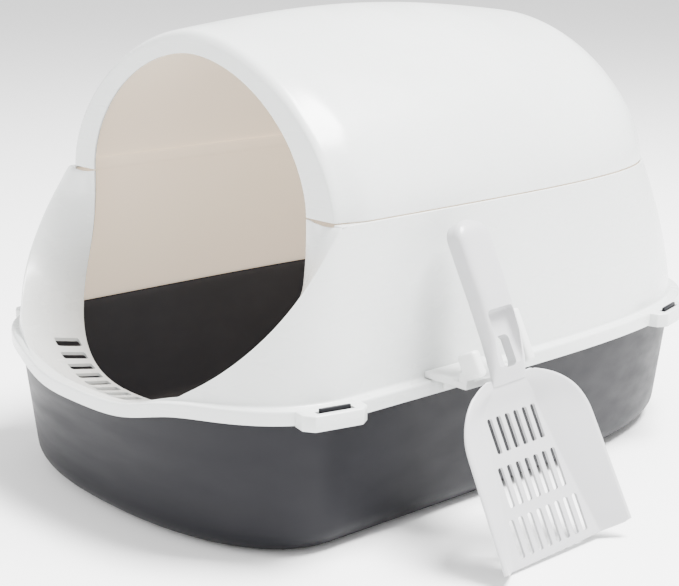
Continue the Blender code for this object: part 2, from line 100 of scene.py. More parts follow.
# ------------------------------------------------------------------------------ finishes
@dataclass(frozen=True)
class MouldedPlastic:
    """Injection-moulded plastic with soft mottling, flow marks, fine grain and a little dust, and where
    asked a painted glow from emission.
    """

    name: str
    colour: tuple[float, float, float]
    shade: tuple[float, float, float]
    roughness: float
    roughness_swing: float
    grain_height: float
    grain_size: float
    wave_height: float = 0.00012
    coat: float = 0.0
    glow: float = 0.0
    specular: float = 0.5
    painted_glow: float = 0.0

    def build(self) -> bpy.types.Material:
        """Makes the node tree.

        Returns:
            The finished material.
        """
        material = bpy.data.materials.new(self.name)
        material.use_nodes = True
        tree = material.node_tree
        shader = tree.nodes["Principled BSDF"]
        shader.inputs["Metallic"].default_value = 0.0
        shader.inputs["IOR"].default_value = 1.49
        shader.inputs["Specular IOR Level"].default_value = self.specular
        shader.inputs["Coat Weight"].default_value = self.coat
        shader.inputs["Coat Roughness"].default_value = 0.16
        # Painted glow: emission in the plastic's own colour stands in for light shining through the plastic.
        if self.painted_glow:
            shader.inputs["Emission Color"].default_value = (*self.colour, 1.0)
            shader.inputs["Emission Strength"].default_value = self.painted_glow
        if self.glow:
            shader.inputs["Subsurface Weight"].default_value = self.glow
            shader.inputs["Subsurface Radius"].default_value = (0.9, 0.8, 0.7)
            shader.inputs["Subsurface Scale"].default_value = 0.003
        place = tree.nodes.new("ShaderNodeTexCoord")
        mottle = self.noise(tree, place, 9.0, 4.0)
        flow = self.noise(tree, place, 34.0, 3.0, stretch=(0.35, 1.0, 2.2))
        grain = self.noise(tree, place, 1.0 / self.grain_size, 2.0)
        dust = self.noise(tree, place, 620.0, 1.0)
        tint = tree.nodes.new("ShaderNodeMix")
        tint.data_type = "RGBA"
        tint.inputs[6].default_value = (*self.colour, 1.0)
        tint.inputs[7].default_value = (*self.shade, 1.0)
        spread = self.remap(tree, mottle, 0.38, 0.66, 0.0, 0.75)
        tree.links.new(spread.outputs["Result"], tint.inputs[0])
        specks = self.remap(tree, dust, 0.70, 0.80, 1.0, 0.965)
        dusty = tree.nodes.new("ShaderNodeMix")
        dusty.data_type = "RGBA"
        dusty.blend_type = "MULTIPLY"
        dusty.inputs[0].default_value = 1.0
        tree.links.new(tint.outputs[2], dusty.inputs[6])
        tree.links.new(specks.outputs["Result"], dusty.inputs[7])
        tree.links.new(dusty.outputs[2], shader.inputs["Base Color"])
        low = max(0.02, self.roughness - self.roughness_swing)
        rough = self.remap(tree, flow, 0.30, 0.70, low, self.roughness + self.roughness_swing)
        tree.links.new(rough.outputs["Result"], shader.inputs["Roughness"])
        waves = tree.nodes.new("ShaderNodeBump")
        waves.inputs["Strength"].default_value = 0.35
        waves.inputs["Distance"].default_value = self.wave_height
        tree.links.new(flow.outputs["Fac"], waves.inputs["Height"])
        fine = tree.nodes.new("ShaderNodeBump")
        fine.inputs["Strength"].default_value = 0.5
        fine.inputs["Distance"].default_value = self.grain_height
        tree.links.new(grain.outputs["Fac"], fine.inputs["Height"])
        tree.links.new(waves.outputs["Normal"], fine.inputs["Normal"])
        tree.links.new(fine.outputs["Normal"], shader.inputs["Normal"])
        return material

    @staticmethod
    def noise(tree: bpy.types.NodeTree, place: bpy.types.Node, scale: float, detail: float,
              stretch: tuple[float, float, float] = (1.0, 1.0, 1.0)) -> bpy.types.Node:
        """Adds a noise pattern on the piece's own coordinates.

        Args:
            tree: the material's node tree.
            place: the coordinate node.
            scale: pattern repeats per metre.
            detail: octaves of noise.
            stretch: factor on each axis.
        Returns:
            The noise node.
        """
        mapping = tree.nodes.new("ShaderNodeMapping")
        mapping.inputs["Scale"].default_value = stretch
        tree.links.new(place.outputs["Object"], mapping.inputs["Vector"])
        node = tree.nodes.new("ShaderNodeTexNoise")
        node.inputs["Scale"].default_value = scale
        node.inputs["Detail"].default_value = detail
        tree.links.new(mapping.outputs["Vector"], node.inputs["Vector"])
        return node

    @staticmethod
    def remap(tree: bpy.types.NodeTree, source: bpy.types.Node, low: float, high: float,
              to_low: float, to_high: float) -> bpy.types.Node:
        """Adds a clamped remap of a noise value.

        Args:
            tree: the material's node tree.
            source: the noise node.
            low: value mapped to to_low.
            high: value mapped to to_high.
            to_low: result at low.
            to_high: result at high.
        Returns:
            The remap node.
        """
        node = tree.nodes.new("ShaderNodeMapRange")
        node.inputs["From Min"].default_value = low
        node.inputs["From Max"].default_value = high
        node.inputs["To Min"].default_value = to_low
        node.inputs["To Max"].default_value = to_high
        tree.links.new(source.outputs["Fac"], node.inputs["Value"])
        return node


@dataclass(frozen=True)
class PlainFloor:
    """Matt pale studio floor."""

    name: str = "studio_floor"
    colour: tuple[float, float, float] = (0.97, 0.97, 0.97)

    def build(self) -> bpy.types.Material:
        """Makes the floor's material.

        Returns:
            The finished material.
        """
        material = bpy.data.materials.new(self.name)
        material.use_nodes = True
        shader = material.node_tree.nodes["Principled BSDF"]
        shader.inputs["Base Color"].default_value = (*self.colour, 1.0)
        shader.inputs["Roughness"].default_value = 0.9
        shader.inputs["Specular IOR Level"].default_value = 0.1
        return material


@dataclass(frozen=True)
class Finishes:
    """Every material of the box."""

    hood: bpy.types.Material
    lining: bpy.types.Material
    pan: bpy.types.Material
    pan_inside: bpy.types.Material
    scoop: bpy.types.Material
    bracket: bpy.types.Material

    @classmethod
    def build(cls) -> "Finishes":
        """Makes all the materials.

        Returns:
            The set of finishes.
        """
        return cls(
            hood=MouldedPlastic("hood_gloss_white", (0.66, 0.68, 0.67), (0.62, 0.64, 0.63), 0.27, 0.05,
                                0.00003, 0.0011, coat=0.25, glow=0.06).build(),
            # The inner skins' warm beige is painted warm shade on white plastic, and their emission is a
            # painted glow standing in for light through the plastic.
            lining=MouldedPlastic("hood_inside_painted_warm_glow", (0.74, 0.64, 0.52), (0.70, 0.60, 0.48), 0.55, 0.06,
                                  0.00005, 0.0014, painted_glow=0.85).build(),
            pan=MouldedPlastic("pan_satin_grey", (0.0088, 0.0088, 0.0112), (0.0074, 0.0074, 0.0096),
                               0.46, 0.06, 0.00007, 0.0010, specular=0.14).build(),
            # Painted light: the inside skin gets its own copy of the pan's grey, several times lighter and
            # bluer than the outside, set for how the inside is lit.
            pan_inside=MouldedPlastic("pan_inside_grey", (0.0420, 0.0460, 0.0600), (0.0360, 0.0400, 0.0520),
                                      0.60, 0.06, 0.00006, 0.0012, specular=0.3).build(),
            scoop=MouldedPlastic("scoop_white", (0.50, 0.50, 0.51), (0.46, 0.46, 0.47), 0.34, 0.05,
                                 0.00004, 0.0010, coat=0.12, glow=0.06).build(),
            bracket=MouldedPlastic("bracket_white", (0.72, 0.73, 0.72), (0.68, 0.69, 0.68), 0.32, 0.05,
                                   0.00004, 0.0010, coat=0.12).build(),
        )


# ------------------------------------------------------------------------------ mesh tools
def smoothstep(value: float) -> float:
    """Eases 0..1 with flat ends."""
    value = min(1.0, max(0.0, value))
    return value * value * (3.0 - 2.0 * value)


def mesh_object(name: str, points: Iterable[Sequence[float]], faces: Sequence[Face]) -> bpy.types.Object:
    """Makes an object from points and faces.

    Args:
        name: the object's name.
        points: places of the vertices.
        faces: vertex numbers of each face.
    Returns:
        The new object, linked to the scene.
    """
    mesh = bpy.data.meshes.new(name)
    mesh.from_pydata([tuple(map(float, p)) for p in points], [], list(faces))
    mesh.update()
    thing = bpy.data.objects.new(name, mesh)
    bpy.context.scene.collection.objects.link(thing)
    return thing


def grid(rows: int, columns: int, closed: bool, first: int = 0) -> list[Face]:
    """Quads of a grid of points stored row after row.

    Args:
        rows: number of rows.
        columns: points in each row.
        closed: whether the last column joins the first.
        first: number of the first point.
    Returns:
        The faces.
    """
    faces = []
    for r in range(rows - 1):
        for c in range(columns if closed else columns - 1):
            a = first + r * columns + c
            b = first + r * columns + (c + 1) % columns
            faces.append((a, b, b + columns, a + columns))
    return faces


def skin_normals(points: np.ndarray, faces: Sequence[Face]) -> np.ndarray:
    """Unit normals of a skin's points.

    Args:
        points: the points, one per row.
        faces: triangles and quads.
    Returns:
        One normal for each point.
    """
    normals = np.zeros_like(points)
    quads = np.array([f if len(f) == 4 else (*f, f[0]) for f in faces])
    corners = points[quads]
    face_normals = np.cross(corners[:, 2] - corners[:, 0], corners[:, 3] - corners[:, 1])
    flat = np.array([len(f) == 3 for f in faces])
    if flat.any():
        three = corners[flat]
        face_normals[flat] = np.cross(three[:, 1] - three[:, 0], three[:, 2] - three[:, 0])
    length = np.linalg.norm(face_normals, axis=1, keepdims=True)
    face_normals = face_normals / np.maximum(length, 1e-14)
    for k in range(4):
        np.add.at(normals, quads[:, k], face_normals)
    return normals / np.maximum(np.linalg.norm(normals, axis=1, keepdims=True), TINY)


def unfold(outer: np.ndarray, inner: np.ndarray, faces: Sequence[Face], rounds: int = 60,
           passes: int = 6, least: float = 0.12) -> np.ndarray:
    """Relaxes an inner skin where it folds over itself inside a tight bend.

    Args:
        outer: the outer skin's points.
        inner: the inner skin's points.
        faces: the faces they share.
        rounds: most times to look for folds.
        passes: times the loose points are averaged after each look.
        least: share of an outer edge's length under which the inner edge counts as folded.
    Returns:
        The inner skin's new points.
    """
    pairs = {tuple(sorted((f[k], f[(k + 1) % len(f)]))) for f in faces for k in range(len(f))}
    edges = np.array(sorted(pairs))
    a, b = edges[:, 0], edges[:, 1]
    along = outer[b] - outer[a]
    square = (along * along).sum(1)
    degree = np.bincount(edges.ravel(), minlength=len(outer)).astype(float)[:, None]
    loose = np.zeros(len(outer), bool)
    for _ in range(rounds):
        folded = ((inner[b] - inner[a]) * along).sum(1) < least * square
        if not folded.any():
            break
        loose[edges[folded].ravel()] = True
        for _ in range(passes):
            total = np.zeros_like(inner)
            np.add.at(total, a, inner[b])
            np.add.at(total, b, inner[a])
            inner = np.where(loose[:, None], total / np.maximum(degree, 1.0), inner)
    return inner


def moulded_wall(name: str, points: Points, faces: Sequence[Face], wall: float,
                 rim_steps: int = 5, rim_reach: float = 0.6) -> bpy.types.Object:
    """A closed wall under an outer skin, with rounded open edges.

    Args:
        name: the object's name.
        points: the outer skin's points.
        faces: its faces, seen counter-clockwise from outside.
        wall: the wall's thickness.
        rim_steps: facets round each open edge.
        rim_reach: how far the edge bulges, over half the wall.
    Returns:
        The new object, with its inner faces in the second material slot.
    """
    outer = np.array([tuple(p) for p in points], float)
    count = len(outer)
    normals = skin_normals(outer, faces)
    inner = unfold(outer, outer - normals * wall, faces)
    directed = {(f[k], f[(k + 1) % len(f)]) for f in faces for k in range(len(f))}
    rim_edges = [e for e in directed if (e[1], e[0]) not in directed]
    rim_edges.sort()
    away = np.zeros_like(outer)
    for a, b in rim_edges:
        side = np.cross(outer[b] - outer[a], normals[a] + normals[b])
        side /= max(np.linalg.norm(side), TINY)
        away[a] += side
        away[b] += side
    everything = [outer, inner]
    place: dict[int, list[int]] = {}
    extra = []
    number = 2 * count
    for v in sorted({v for e in rim_edges for v in e}):
        middle = (outer[v] + inner[v]) / 2
        half = (outer[v] - inner[v]) / 2
        reach = away[v] / max(np.linalg.norm(away[v]), TINY) * wall / 2 * rim_reach
        ring = [v]
        for j in range(1, rim_steps):
            turn = math.pi * j / rim_steps
            extra.append(middle + half * math.cos(turn) + reach * math.sin(turn))
            ring.append(number)
            number += 1
        ring.append(v + count)
        place[v] = ring
    if extra:
        everything.append(np.array(extra))
    closed = list(faces)
    inside_from = len(closed)
    closed += [tuple(count + v for v in reversed(f)) for f in faces]
    inside_to = len(closed)
    for a, b in rim_edges:
        for j in range(rim_steps):
            closed.append((place[b][j], place[a][j], place[a][j + 1], place[b][j + 1]))
    thing = mesh_object(name, np.concatenate(everything), closed)
    slots = np.zeros(len(closed), np.int32)
    slots[inside_from:inside_to] = Skin.INSIDE.value
    thing.data.polygons.foreach_set("material_index", slots)
    return thing


def rounded_path(corners: Points, radii: Sequence[float], spans: Sequence[int],
                 arc: int = 6) -> list[Vector]:
    """A path through corners, each rounded by its radius.

    Args:
        corners: the path's corners.
        radii: rounding at each corner; 0 keeps the corner as one point.
        spans: pieces that each straight stretch is cut into.
        arc: pieces in each rounding.
    Returns:
        The path's points, the same number for the same spans, arc and places of zeros.
    """
    sharpest, straight = 0.05, 1.56
    most, least = 0.46, 1e-5
    path = [corners[0].copy()]
    last = len(corners) - 1
    for i in range(1, last + 1):
        here = corners[i]
        if i == last or radii[i] == 0.0:
            start = end = here
            bend = [here]
        else:
            back, ahead = corners[i - 1] - here, corners[i + 1] - here
            half_angle = max(back.angle(ahead, math.pi) / 2, sharpest)
            trim = radii[i] / math.tan(half_angle) if half_angle < straight else radii[i] * 0.02
            trim = max(min(trim, most * back.length, most * ahead.length), least)
            start, end = here + back.normalized() * trim, here + ahead.normalized() * trim
            bend = []
            for j in range(arc + 1):
                t = j / arc
                bend.append(start * (1 - t) ** 2 + here * 2 * t * (1 - t) + end * t * t)
        previous = path[-1]
        pieces = spans[i - 1]
        for j in range(1, pieces):
            path.append(previous.lerp(start, j / pieces))
        path.extend(bend)
    return path


def even_by_turn(track: np.ndarray, count: int, weight: float) -> np.ndarray:
    """Spaces points along a track, closer together where it turns.

    Args:
        track: points of the track, finely spaced.
        count: how many points are wanted.
        weight: length that one radian of turning counts as.
    Returns:
        The new points.
    """
    steps = np.diff(track, axis=0)
    length = np.linalg.norm(steps, axis=1)
    keep = length > 1e-9
    track = np.concatenate([track[:1], track[1:][keep]])
    steps, length = steps[keep], length[keep]
    unit = steps / length[:, None]
    turn = np.concatenate([[0.0], np.arccos(np.clip((unit[1:] * unit[:-1]).sum(1), -1, 1))])
    run = np.concatenate([[0.0], np.cumsum(length + weight * turn)])
    places = np.linspace(0.0, run[-1], count)
    return np.stack([np.interp(places, run, track[:, k]) for k in range(track.shape[1])], axis=1)


def dress(thing: bpy.types.Object, *materials: bpy.types.Material, sharp: float = 38.0) -> bpy.types.Object:
    """Gives a mesh its materials and smooth shading.

    Args:
        thing: the piece.
        materials: the materials, in slot order.
        sharp: edges that turn more than this many degrees stay crisp.
    Returns:
        The same piece.
    """
    slots = thing.data.materials
    for number, material in enumerate(materials):
        if number < len(slots):
            slots[number] = material
        else:
            slots.append(material)
    thing.data.shade_smooth()
    thing.data.set_sharp_from_angle(angle=math.radians(sharp))
    return thing


def apply_modifiers(thing: bpy.types.Object) -> bpy.types.Object:
    """Replaces a piece's mesh by what its modifiers make of it.

    Args:
        thing: the piece.
    Returns:
        The same piece, with a plain mesh.
    """
    graph = bpy.context.evaluated_depsgraph_get()
    graph.update()
    mesh = bpy.data.meshes.new_from_object(thing.evaluated_get(graph))
    old = thing.data
    thing.modifiers.clear()
    thing.data = mesh
    mesh.name = old.name
    bpy.data.meshes.remove(old)
    return thing


def cut(thing: bpy.types.Object, tool: bpy.types.Object, operation: str = "DIFFERENCE") -> bpy.types.Object:
    """Cuts a tool out of a piece, or joins it on, and removes the tool.

    Args:
        thing: the piece.
        tool: the closed mesh to cut or join with.
        operation: name of the boolean operation.
    Returns:
        The piece, with a plain mesh.
    """
    step = thing.modifiers.new("cut", "BOOLEAN")
    step.operation = operation
    step.object = tool
    step.solver = "EXACT"
    apply_modifiers(thing)
    bpy.data.objects.remove(tool, do_unlink=True)
    return thing


def join(name: str, parts: Sequence[bpy.types.Object]) -> bpy.types.Object:
    """Puts several meshes into one object.

    Args:
        name: the new object's name.
        parts: the meshes, which are removed.
    Returns:
        The joined object.
    """
    gathered = bmesh.new()
    for part in parts:
        gathered.from_mesh(part.data)
        bpy.data.objects.remove(part, do_unlink=True)
    mesh = bpy.data.meshes.new(name)
    gathered.to_mesh(mesh)
    gathered.free()
    thing = bpy.data.objects.new(name, mesh)
    bpy.context.scene.collection.objects.link(thing)
    return thing


def prism(name: str, outline: Points, low: float, high: float, edge: float = 0.0) -> bpy.types.Object:
    """An upright prism with optional rounded edges.

    Args:
        name: the object's name.
        outline: its plan, counter-clockwise from above.
        low: height of the bottom.
        high: height of the top.
        edge: rounding of all its edges.
    Returns:
        The new object.
    """
    count = len(outline)
    points = [Vector((p.x, p.y, z)) for z in (low, high) for p in outline]
    faces: list[Face] = [tuple(reversed(range(count))), tuple(range(count, 2 * count))]
    faces += [(k, (k + 1) % count, (k + 1) % count + count, k + count) for k in range(count)]
    thing = mesh_object(name, points, faces)
    return soften(thing, edge) if edge else thing


def block(name: str, centre: Vector, size: Sequence[float], along: Vector, up: Vector,
          edge: float = 0.0) -> bpy.types.Object:
    """A box with its length on one direction and its height on another.

    Args:
        name: the object's name.
        centre: its middle.
        size: length, width and height.
        along: direction of the length.
        up: direction of the height.
        edge: rounding of its edges.
    Returns:
        The new object.
    """
    along = Vector(along).normalized()
    across = Vector(up).cross(along).normalized()
    up = along.cross(across).normalized()
    corners = []
    for i in (-0.5, 0.5):
        for j in (-0.5, 0.5):
            for k in (-0.5, 0.5):
                offset = along * size[0] * i + across * size[1] * j + up * size[2] * k
                corners.append(Vector(centre) + offset)
    faces = [(0, 1, 3, 2), (4, 6, 7, 5), (0, 4, 5, 1), (2, 3, 7, 6), (0, 2, 6, 4), (1, 5, 7, 3)]
    thing = mesh_object(name, corners, faces)
    return soften(thing, edge) if edge else thing


def soften(thing: bpy.types.Object, edge: float, segments: int = 3) -> bpy.types.Object:
    """Rounds a mesh's edges.

    Args:
        thing: the mesh.
        edge: radius of the rounding.
        segments: facets in it.
    Returns:
        The same object, with a plain mesh.
    """
    step = thing.modifiers.new("soft edges", "BEVEL")
    step.width = edge
    step.segments = segments
    step.limit_method = "ANGLE"
    step.angle_limit = BEVEL_TURN
    return apply_modifiers(thing)


# ------------------------------------------------------------------------------ slots
@dataclass
class SlotRow:
    """A row of rounded slots, made by Geometry Nodes as the prisms that cut them."""

    count: int
    pitch: float
    length: float
    width: float
    depth: float = 0.03
    corner: float = 0.0016
    fan: float = 0.0
    bow: float = 0.0
    corner_steps: int = 4

    def tree(self) -> bpy.types.NodeTree:
        """Builds the node tree for one row.

        Returns:
            The tree, with a named input for each size.
        """
        tree = bpy.data.node_groups.new("slot_row", "GeometryNodeTree")
        face = tree.interface
        face.new_socket("Geometry", in_out="INPUT", socket_type="NodeSocketGeometry")
        face.new_socket("Count", in_out="INPUT", socket_type="NodeSocketInt")
        for name in ("Pitch", "Length", "Width", "Depth", "Corner", "Fan", "Bow"):
            face.new_socket(name, in_out="INPUT", socket_type="NodeSocketFloat")
        face.new_socket("Geometry", in_out="OUTPUT", socket_type="NodeSocketGeometry")
        nodes, link = tree.nodes, tree.links.new
        given = nodes.new("NodeGroupInput")
        result = nodes.new("NodeGroupOutput")

        def maths(operation: str, first: object, second: object) -> bpy.types.NodeSocket:
            """Adds a maths node.

            Args:
                operation: name of the operation.
                first: a socket or a number.
                second: a socket or a number.
            Returns:
                The result's socket.
            """
            node = nodes.new("ShaderNodeMath")
            node.operation = operation
            for k, value in enumerate((first, second)):
                if isinstance(value, bpy.types.NodeSocket):
                    link(value, node.inputs[k])
                else:
                    node.inputs[k].default_value = value
            return node.outputs[0]

        index = nodes.new("GeometryNodeInputIndex").outputs[0]
        middle = maths("MULTIPLY", maths("SUBTRACT", given.outputs["Count"], 1.0), 0.5)
        across = maths("MULTIPLY", maths("SUBTRACT", index, middle), given.outputs["Pitch"])
        ahead = maths("MULTIPLY", maths("MULTIPLY", across, across), given.outputs["Bow"])
        spot = nodes.new("ShaderNodeCombineXYZ")
        link(ahead, spot.inputs["X"])
        link(across, spot.inputs["Y"])
        line = nodes.new("GeometryNodeMeshLine")
        link(given.outputs["Count"], line.inputs["Count"])
        placed = nodes.new("GeometryNodeSetPosition")
        link(line.outputs["Mesh"], placed.inputs["Geometry"])
        link(spot.outputs[0], placed.inputs["Position"])
        plan = nodes.new("GeometryNodeCurvePrimitiveQuadrilateral")
        link(given.outputs["Length"], plan.inputs["Width"])
        link(given.outputs["Width"], plan.inputs["Height"])
        rounded = nodes.new("GeometryNodeFilletCurve")
        rounded.mode = "POLY"
        rounded.inputs["Count"].default_value = self.corner_steps
        link(plan.outputs["Curve"], rounded.inputs["Curve"])
        link(given.outputs["Corner"], rounded.inputs["Radius"])
        half = maths("MULTIPLY", given.outputs["Depth"], 0.5)
        ends = []
        for sign in (-1.0, 1.0):
            end = nodes.new("ShaderNodeCombineXYZ")
            link(maths("MULTIPLY", half, sign), end.inputs["Z"])
            ends.append(end)
        axis = nodes.new("GeometryNodeCurvePrimitiveLine")
        link(ends[0].outputs[0], axis.inputs["Start"])
        link(ends[1].outputs[0], axis.inputs["End"])
        solid = nodes.new("GeometryNodeCurveToMesh")
        solid.inputs["Fill Caps"].default_value = True
        link(axis.outputs["Curve"], solid.inputs["Curve"])
        link(rounded.outputs["Curve"], solid.inputs["Profile Curve"])
        turn = nodes.new("ShaderNodeCombineXYZ")
        link(maths("MULTIPLY", across, given.outputs["Fan"]), turn.inputs["Z"])
        copies = nodes.new("GeometryNodeInstanceOnPoints")
        link(placed.outputs["Geometry"], copies.inputs["Points"])
        link(solid.outputs["Mesh"], copies.inputs["Instance"])
        link(turn.outputs[0], copies.inputs["Rotation"])
        real = nodes.new("GeometryNodeRealizeInstances")
        link(copies.outputs["Instances"], real.inputs["Geometry"])
        finish = nodes.new("GeometryNodeSetMaterial")
        link(real.outputs["Geometry"], finish.inputs["Geometry"])
        link(finish.outputs["Geometry"], result.inputs["Geometry"])
        return tree

    def cutter(self, name: str, place: Matrix) -> bpy.types.Object:
        """Makes the prisms as a plain mesh.

        Args:
            name: the object's name.
            place: where the row's own frame lies; X is the slots' length and Y runs along the row.
        Returns:
            The cutters, as one object.
        """
        holder = mesh_object(name, [(0.0, 0.0, 0.0)], [])
        step = holder.modifiers.new("slots", "NODES")
        tree = self.tree()
        step.node_group = tree
        values = {"Count": self.count, "Pitch": self.pitch, "Length": self.length, "Width": self.width,
                  "Depth": self.depth, "Corner": self.corner, "Fan": self.fan, "Bow": self.bow}
        for socket in tree.interface.items_tree:
            if socket.in_out == "INPUT" and socket.name in values:
                step[socket.identifier] = values[socket.name]
        apply_modifiers(holder)
        holder.data.transform(place)
        holder.data.materials.clear()
        made = bmesh.new()
        made.from_mesh(holder.data)
        bmesh.ops.remove_doubles(made, verts=made.verts, dist=1e-6)
        bmesh.ops.recalc_face_normals(made, faces=made.faces)
        made.to_mesh(holder.data)
        made.free()
        return holder


# ------------------------------------------------------------------------------ plan of the box
@dataclass(frozen=True)
class BoxPlan:
    """Sizes that the pan, the hood and the dome share, and the outline they follow."""

    length: float = 0.600
    width: float = 0.3906
    front_depth: float = 0.1127
    front_power: tuple[float, float] = (2.27, 2.36)
    rear_power: tuple[float, float] = (3.54, 4.37)
    skirt_bottom: float = 0.1080
    flange_top: float = 0.1188
    flange_width: float = 0.0085
    front_dip: float = 0.0137
    dip_half_width: float = 0.088
    seam: float = 0.2424
    side_lean: float = 0.0095
    rear_lean: float = 0.0430
    face_y: float = -0.1880
    entry_slope: float = 1.31
    crest_clear: float = 0.0030
    front_share: float = 0.6
    front_lean: float = 0.020
    rear_curve: float = 1.6
    lip_flange: float = 0.25
    lip_flange_half: float = 0.05
    lip_flange_run: float = 0.07
    clip_out: float = 0.0055
    wall: float = 0.0024
    opening_half: float = 0.1385
    opening_rise: float = 0.1073
    opening_power: float = 1.84
    turn_weight: float = 0.03

    @property
    def widest_y(self) -> float:
        """Y where the outline is widest."""
        return -self.length / 2 + self.front_depth

    def outline(self, angle: float, side: float = 0.0, front: float | None = None,
                rear: float | None = None) -> Vector:
        """Point of the flange's edge, moved in by given amounts.

        Args:
            angle: place round the outline, 0 at the right and growing towards the back.
            side: how far the sides are moved in.
            front: the same for the front, or as side.
            rear: the same for the back, or as side.
        Returns:
            The point, at height 0.
        """
        front = side if front is None else front
        rear = side if rear is None else rear
        c, s = math.cos(angle), math.sin(angle)
        across, along = self.front_power if s < 0.0 else self.rear_power
        reach = self.front_depth - front if s < 0.0 else self.length - self.front_depth - rear
        x = math.copysign((self.width / 2 - side) * abs(c) ** (2.0 / across), c)
        y = self.widest_y + math.copysign(reach * abs(s) ** (2.0 / along), s)
        return Vector((x, y, 0.0))

    def even_angles(self, count: int, start: float, stop: float, weight: float = 0.0) -> list[float]:
        """Angles spaced evenly along the outline.

        Args:
            count: how many angles.
            start: the first angle.
            stop: the last angle.
            weight: length that one radian of turning counts as.
        Returns:
            The angles.
        """
        fine = np.linspace(start, stop, 5000)
        track = np.array([(*self.outline(a).xy, a) for a in fine])
        steps = np.diff(track[:, :2], axis=0)
        length = np.linalg.norm(steps, axis=1)
        unit = steps / np.maximum(length, 1e-12)[:, None]
        turn = np.concatenate([[0.0], np.arccos(np.clip((unit[1:] * unit[:-1]).sum(1), -1, 1))])
        run = np.concatenate([[0.0], np.cumsum(length + weight * turn)])
        return [float(a) for a in np.interp(np.linspace(0.0, run[-1], count), run, fine)]

    def dip(self, spot: Vector) -> float:
        """How far the rim drops near the entrance.

        Args:
            spot: a place on the rim.
        Returns:
            The drop.
        """
        if spot.y > self.widest_y:
            return 0.0
        return self.front_dip * math.exp(-abs(spot.x / self.dip_half_width) ** 4)

    def flange_part(self, angle: float) -> float:
        """How much of the flange there is: little at the middle of the lip, all of it elsewhere.

        Args:
            angle: place round the outline.
        Returns:
            The share of the flange's width.
        """
        spot = self.outline(angle)
        if spot.y > self.widest_y:
            return 1.0
        start = (abs(spot.x) - self.lip_flange_half) / self.lip_flange_run
        return self.lip_flange + (1 - self.lip_flange) * smoothstep(start)

    def hull(self, angle: float, height: float) -> Vector:
        """Point of the hood's leaning wall.

        Args:
            angle: place round the outline.
            height: its height.
        Returns:
            The point.
        """
        part = (height - self.flange_top) / (self.seam - self.flange_top)
        inset = self.flange_width * self.flange_part(angle)
        front = inset * self.front_share + self.front_lean * part
        rear = inset + self.rear_lean * max(0.0, part) ** self.rear_curve
        spot = self.outline(angle, inset + self.side_lean * part, front, rear)
        spot.z = height
        return spot

    def crest(self, angle: float) -> Vector:
        """Where the hood's wall meets the slanting cut round the entrance.

        Args:
            angle: place round the outline.
        Returns:
            The point.
        """
        low, high = self.flange_top - self.front_dip, self.seam
        for _ in range(40):
            middle = (low + high) / 2
            if self.seam - self.entry_slope * (self.face_y - self.hull(angle, middle).y) > middle:
                low = middle
            else:
                high = middle
        spot = self.hull(angle, low)
        spot.z = max(low, self.flange_top - self.dip(spot) + self.crest_clear)
        return spot


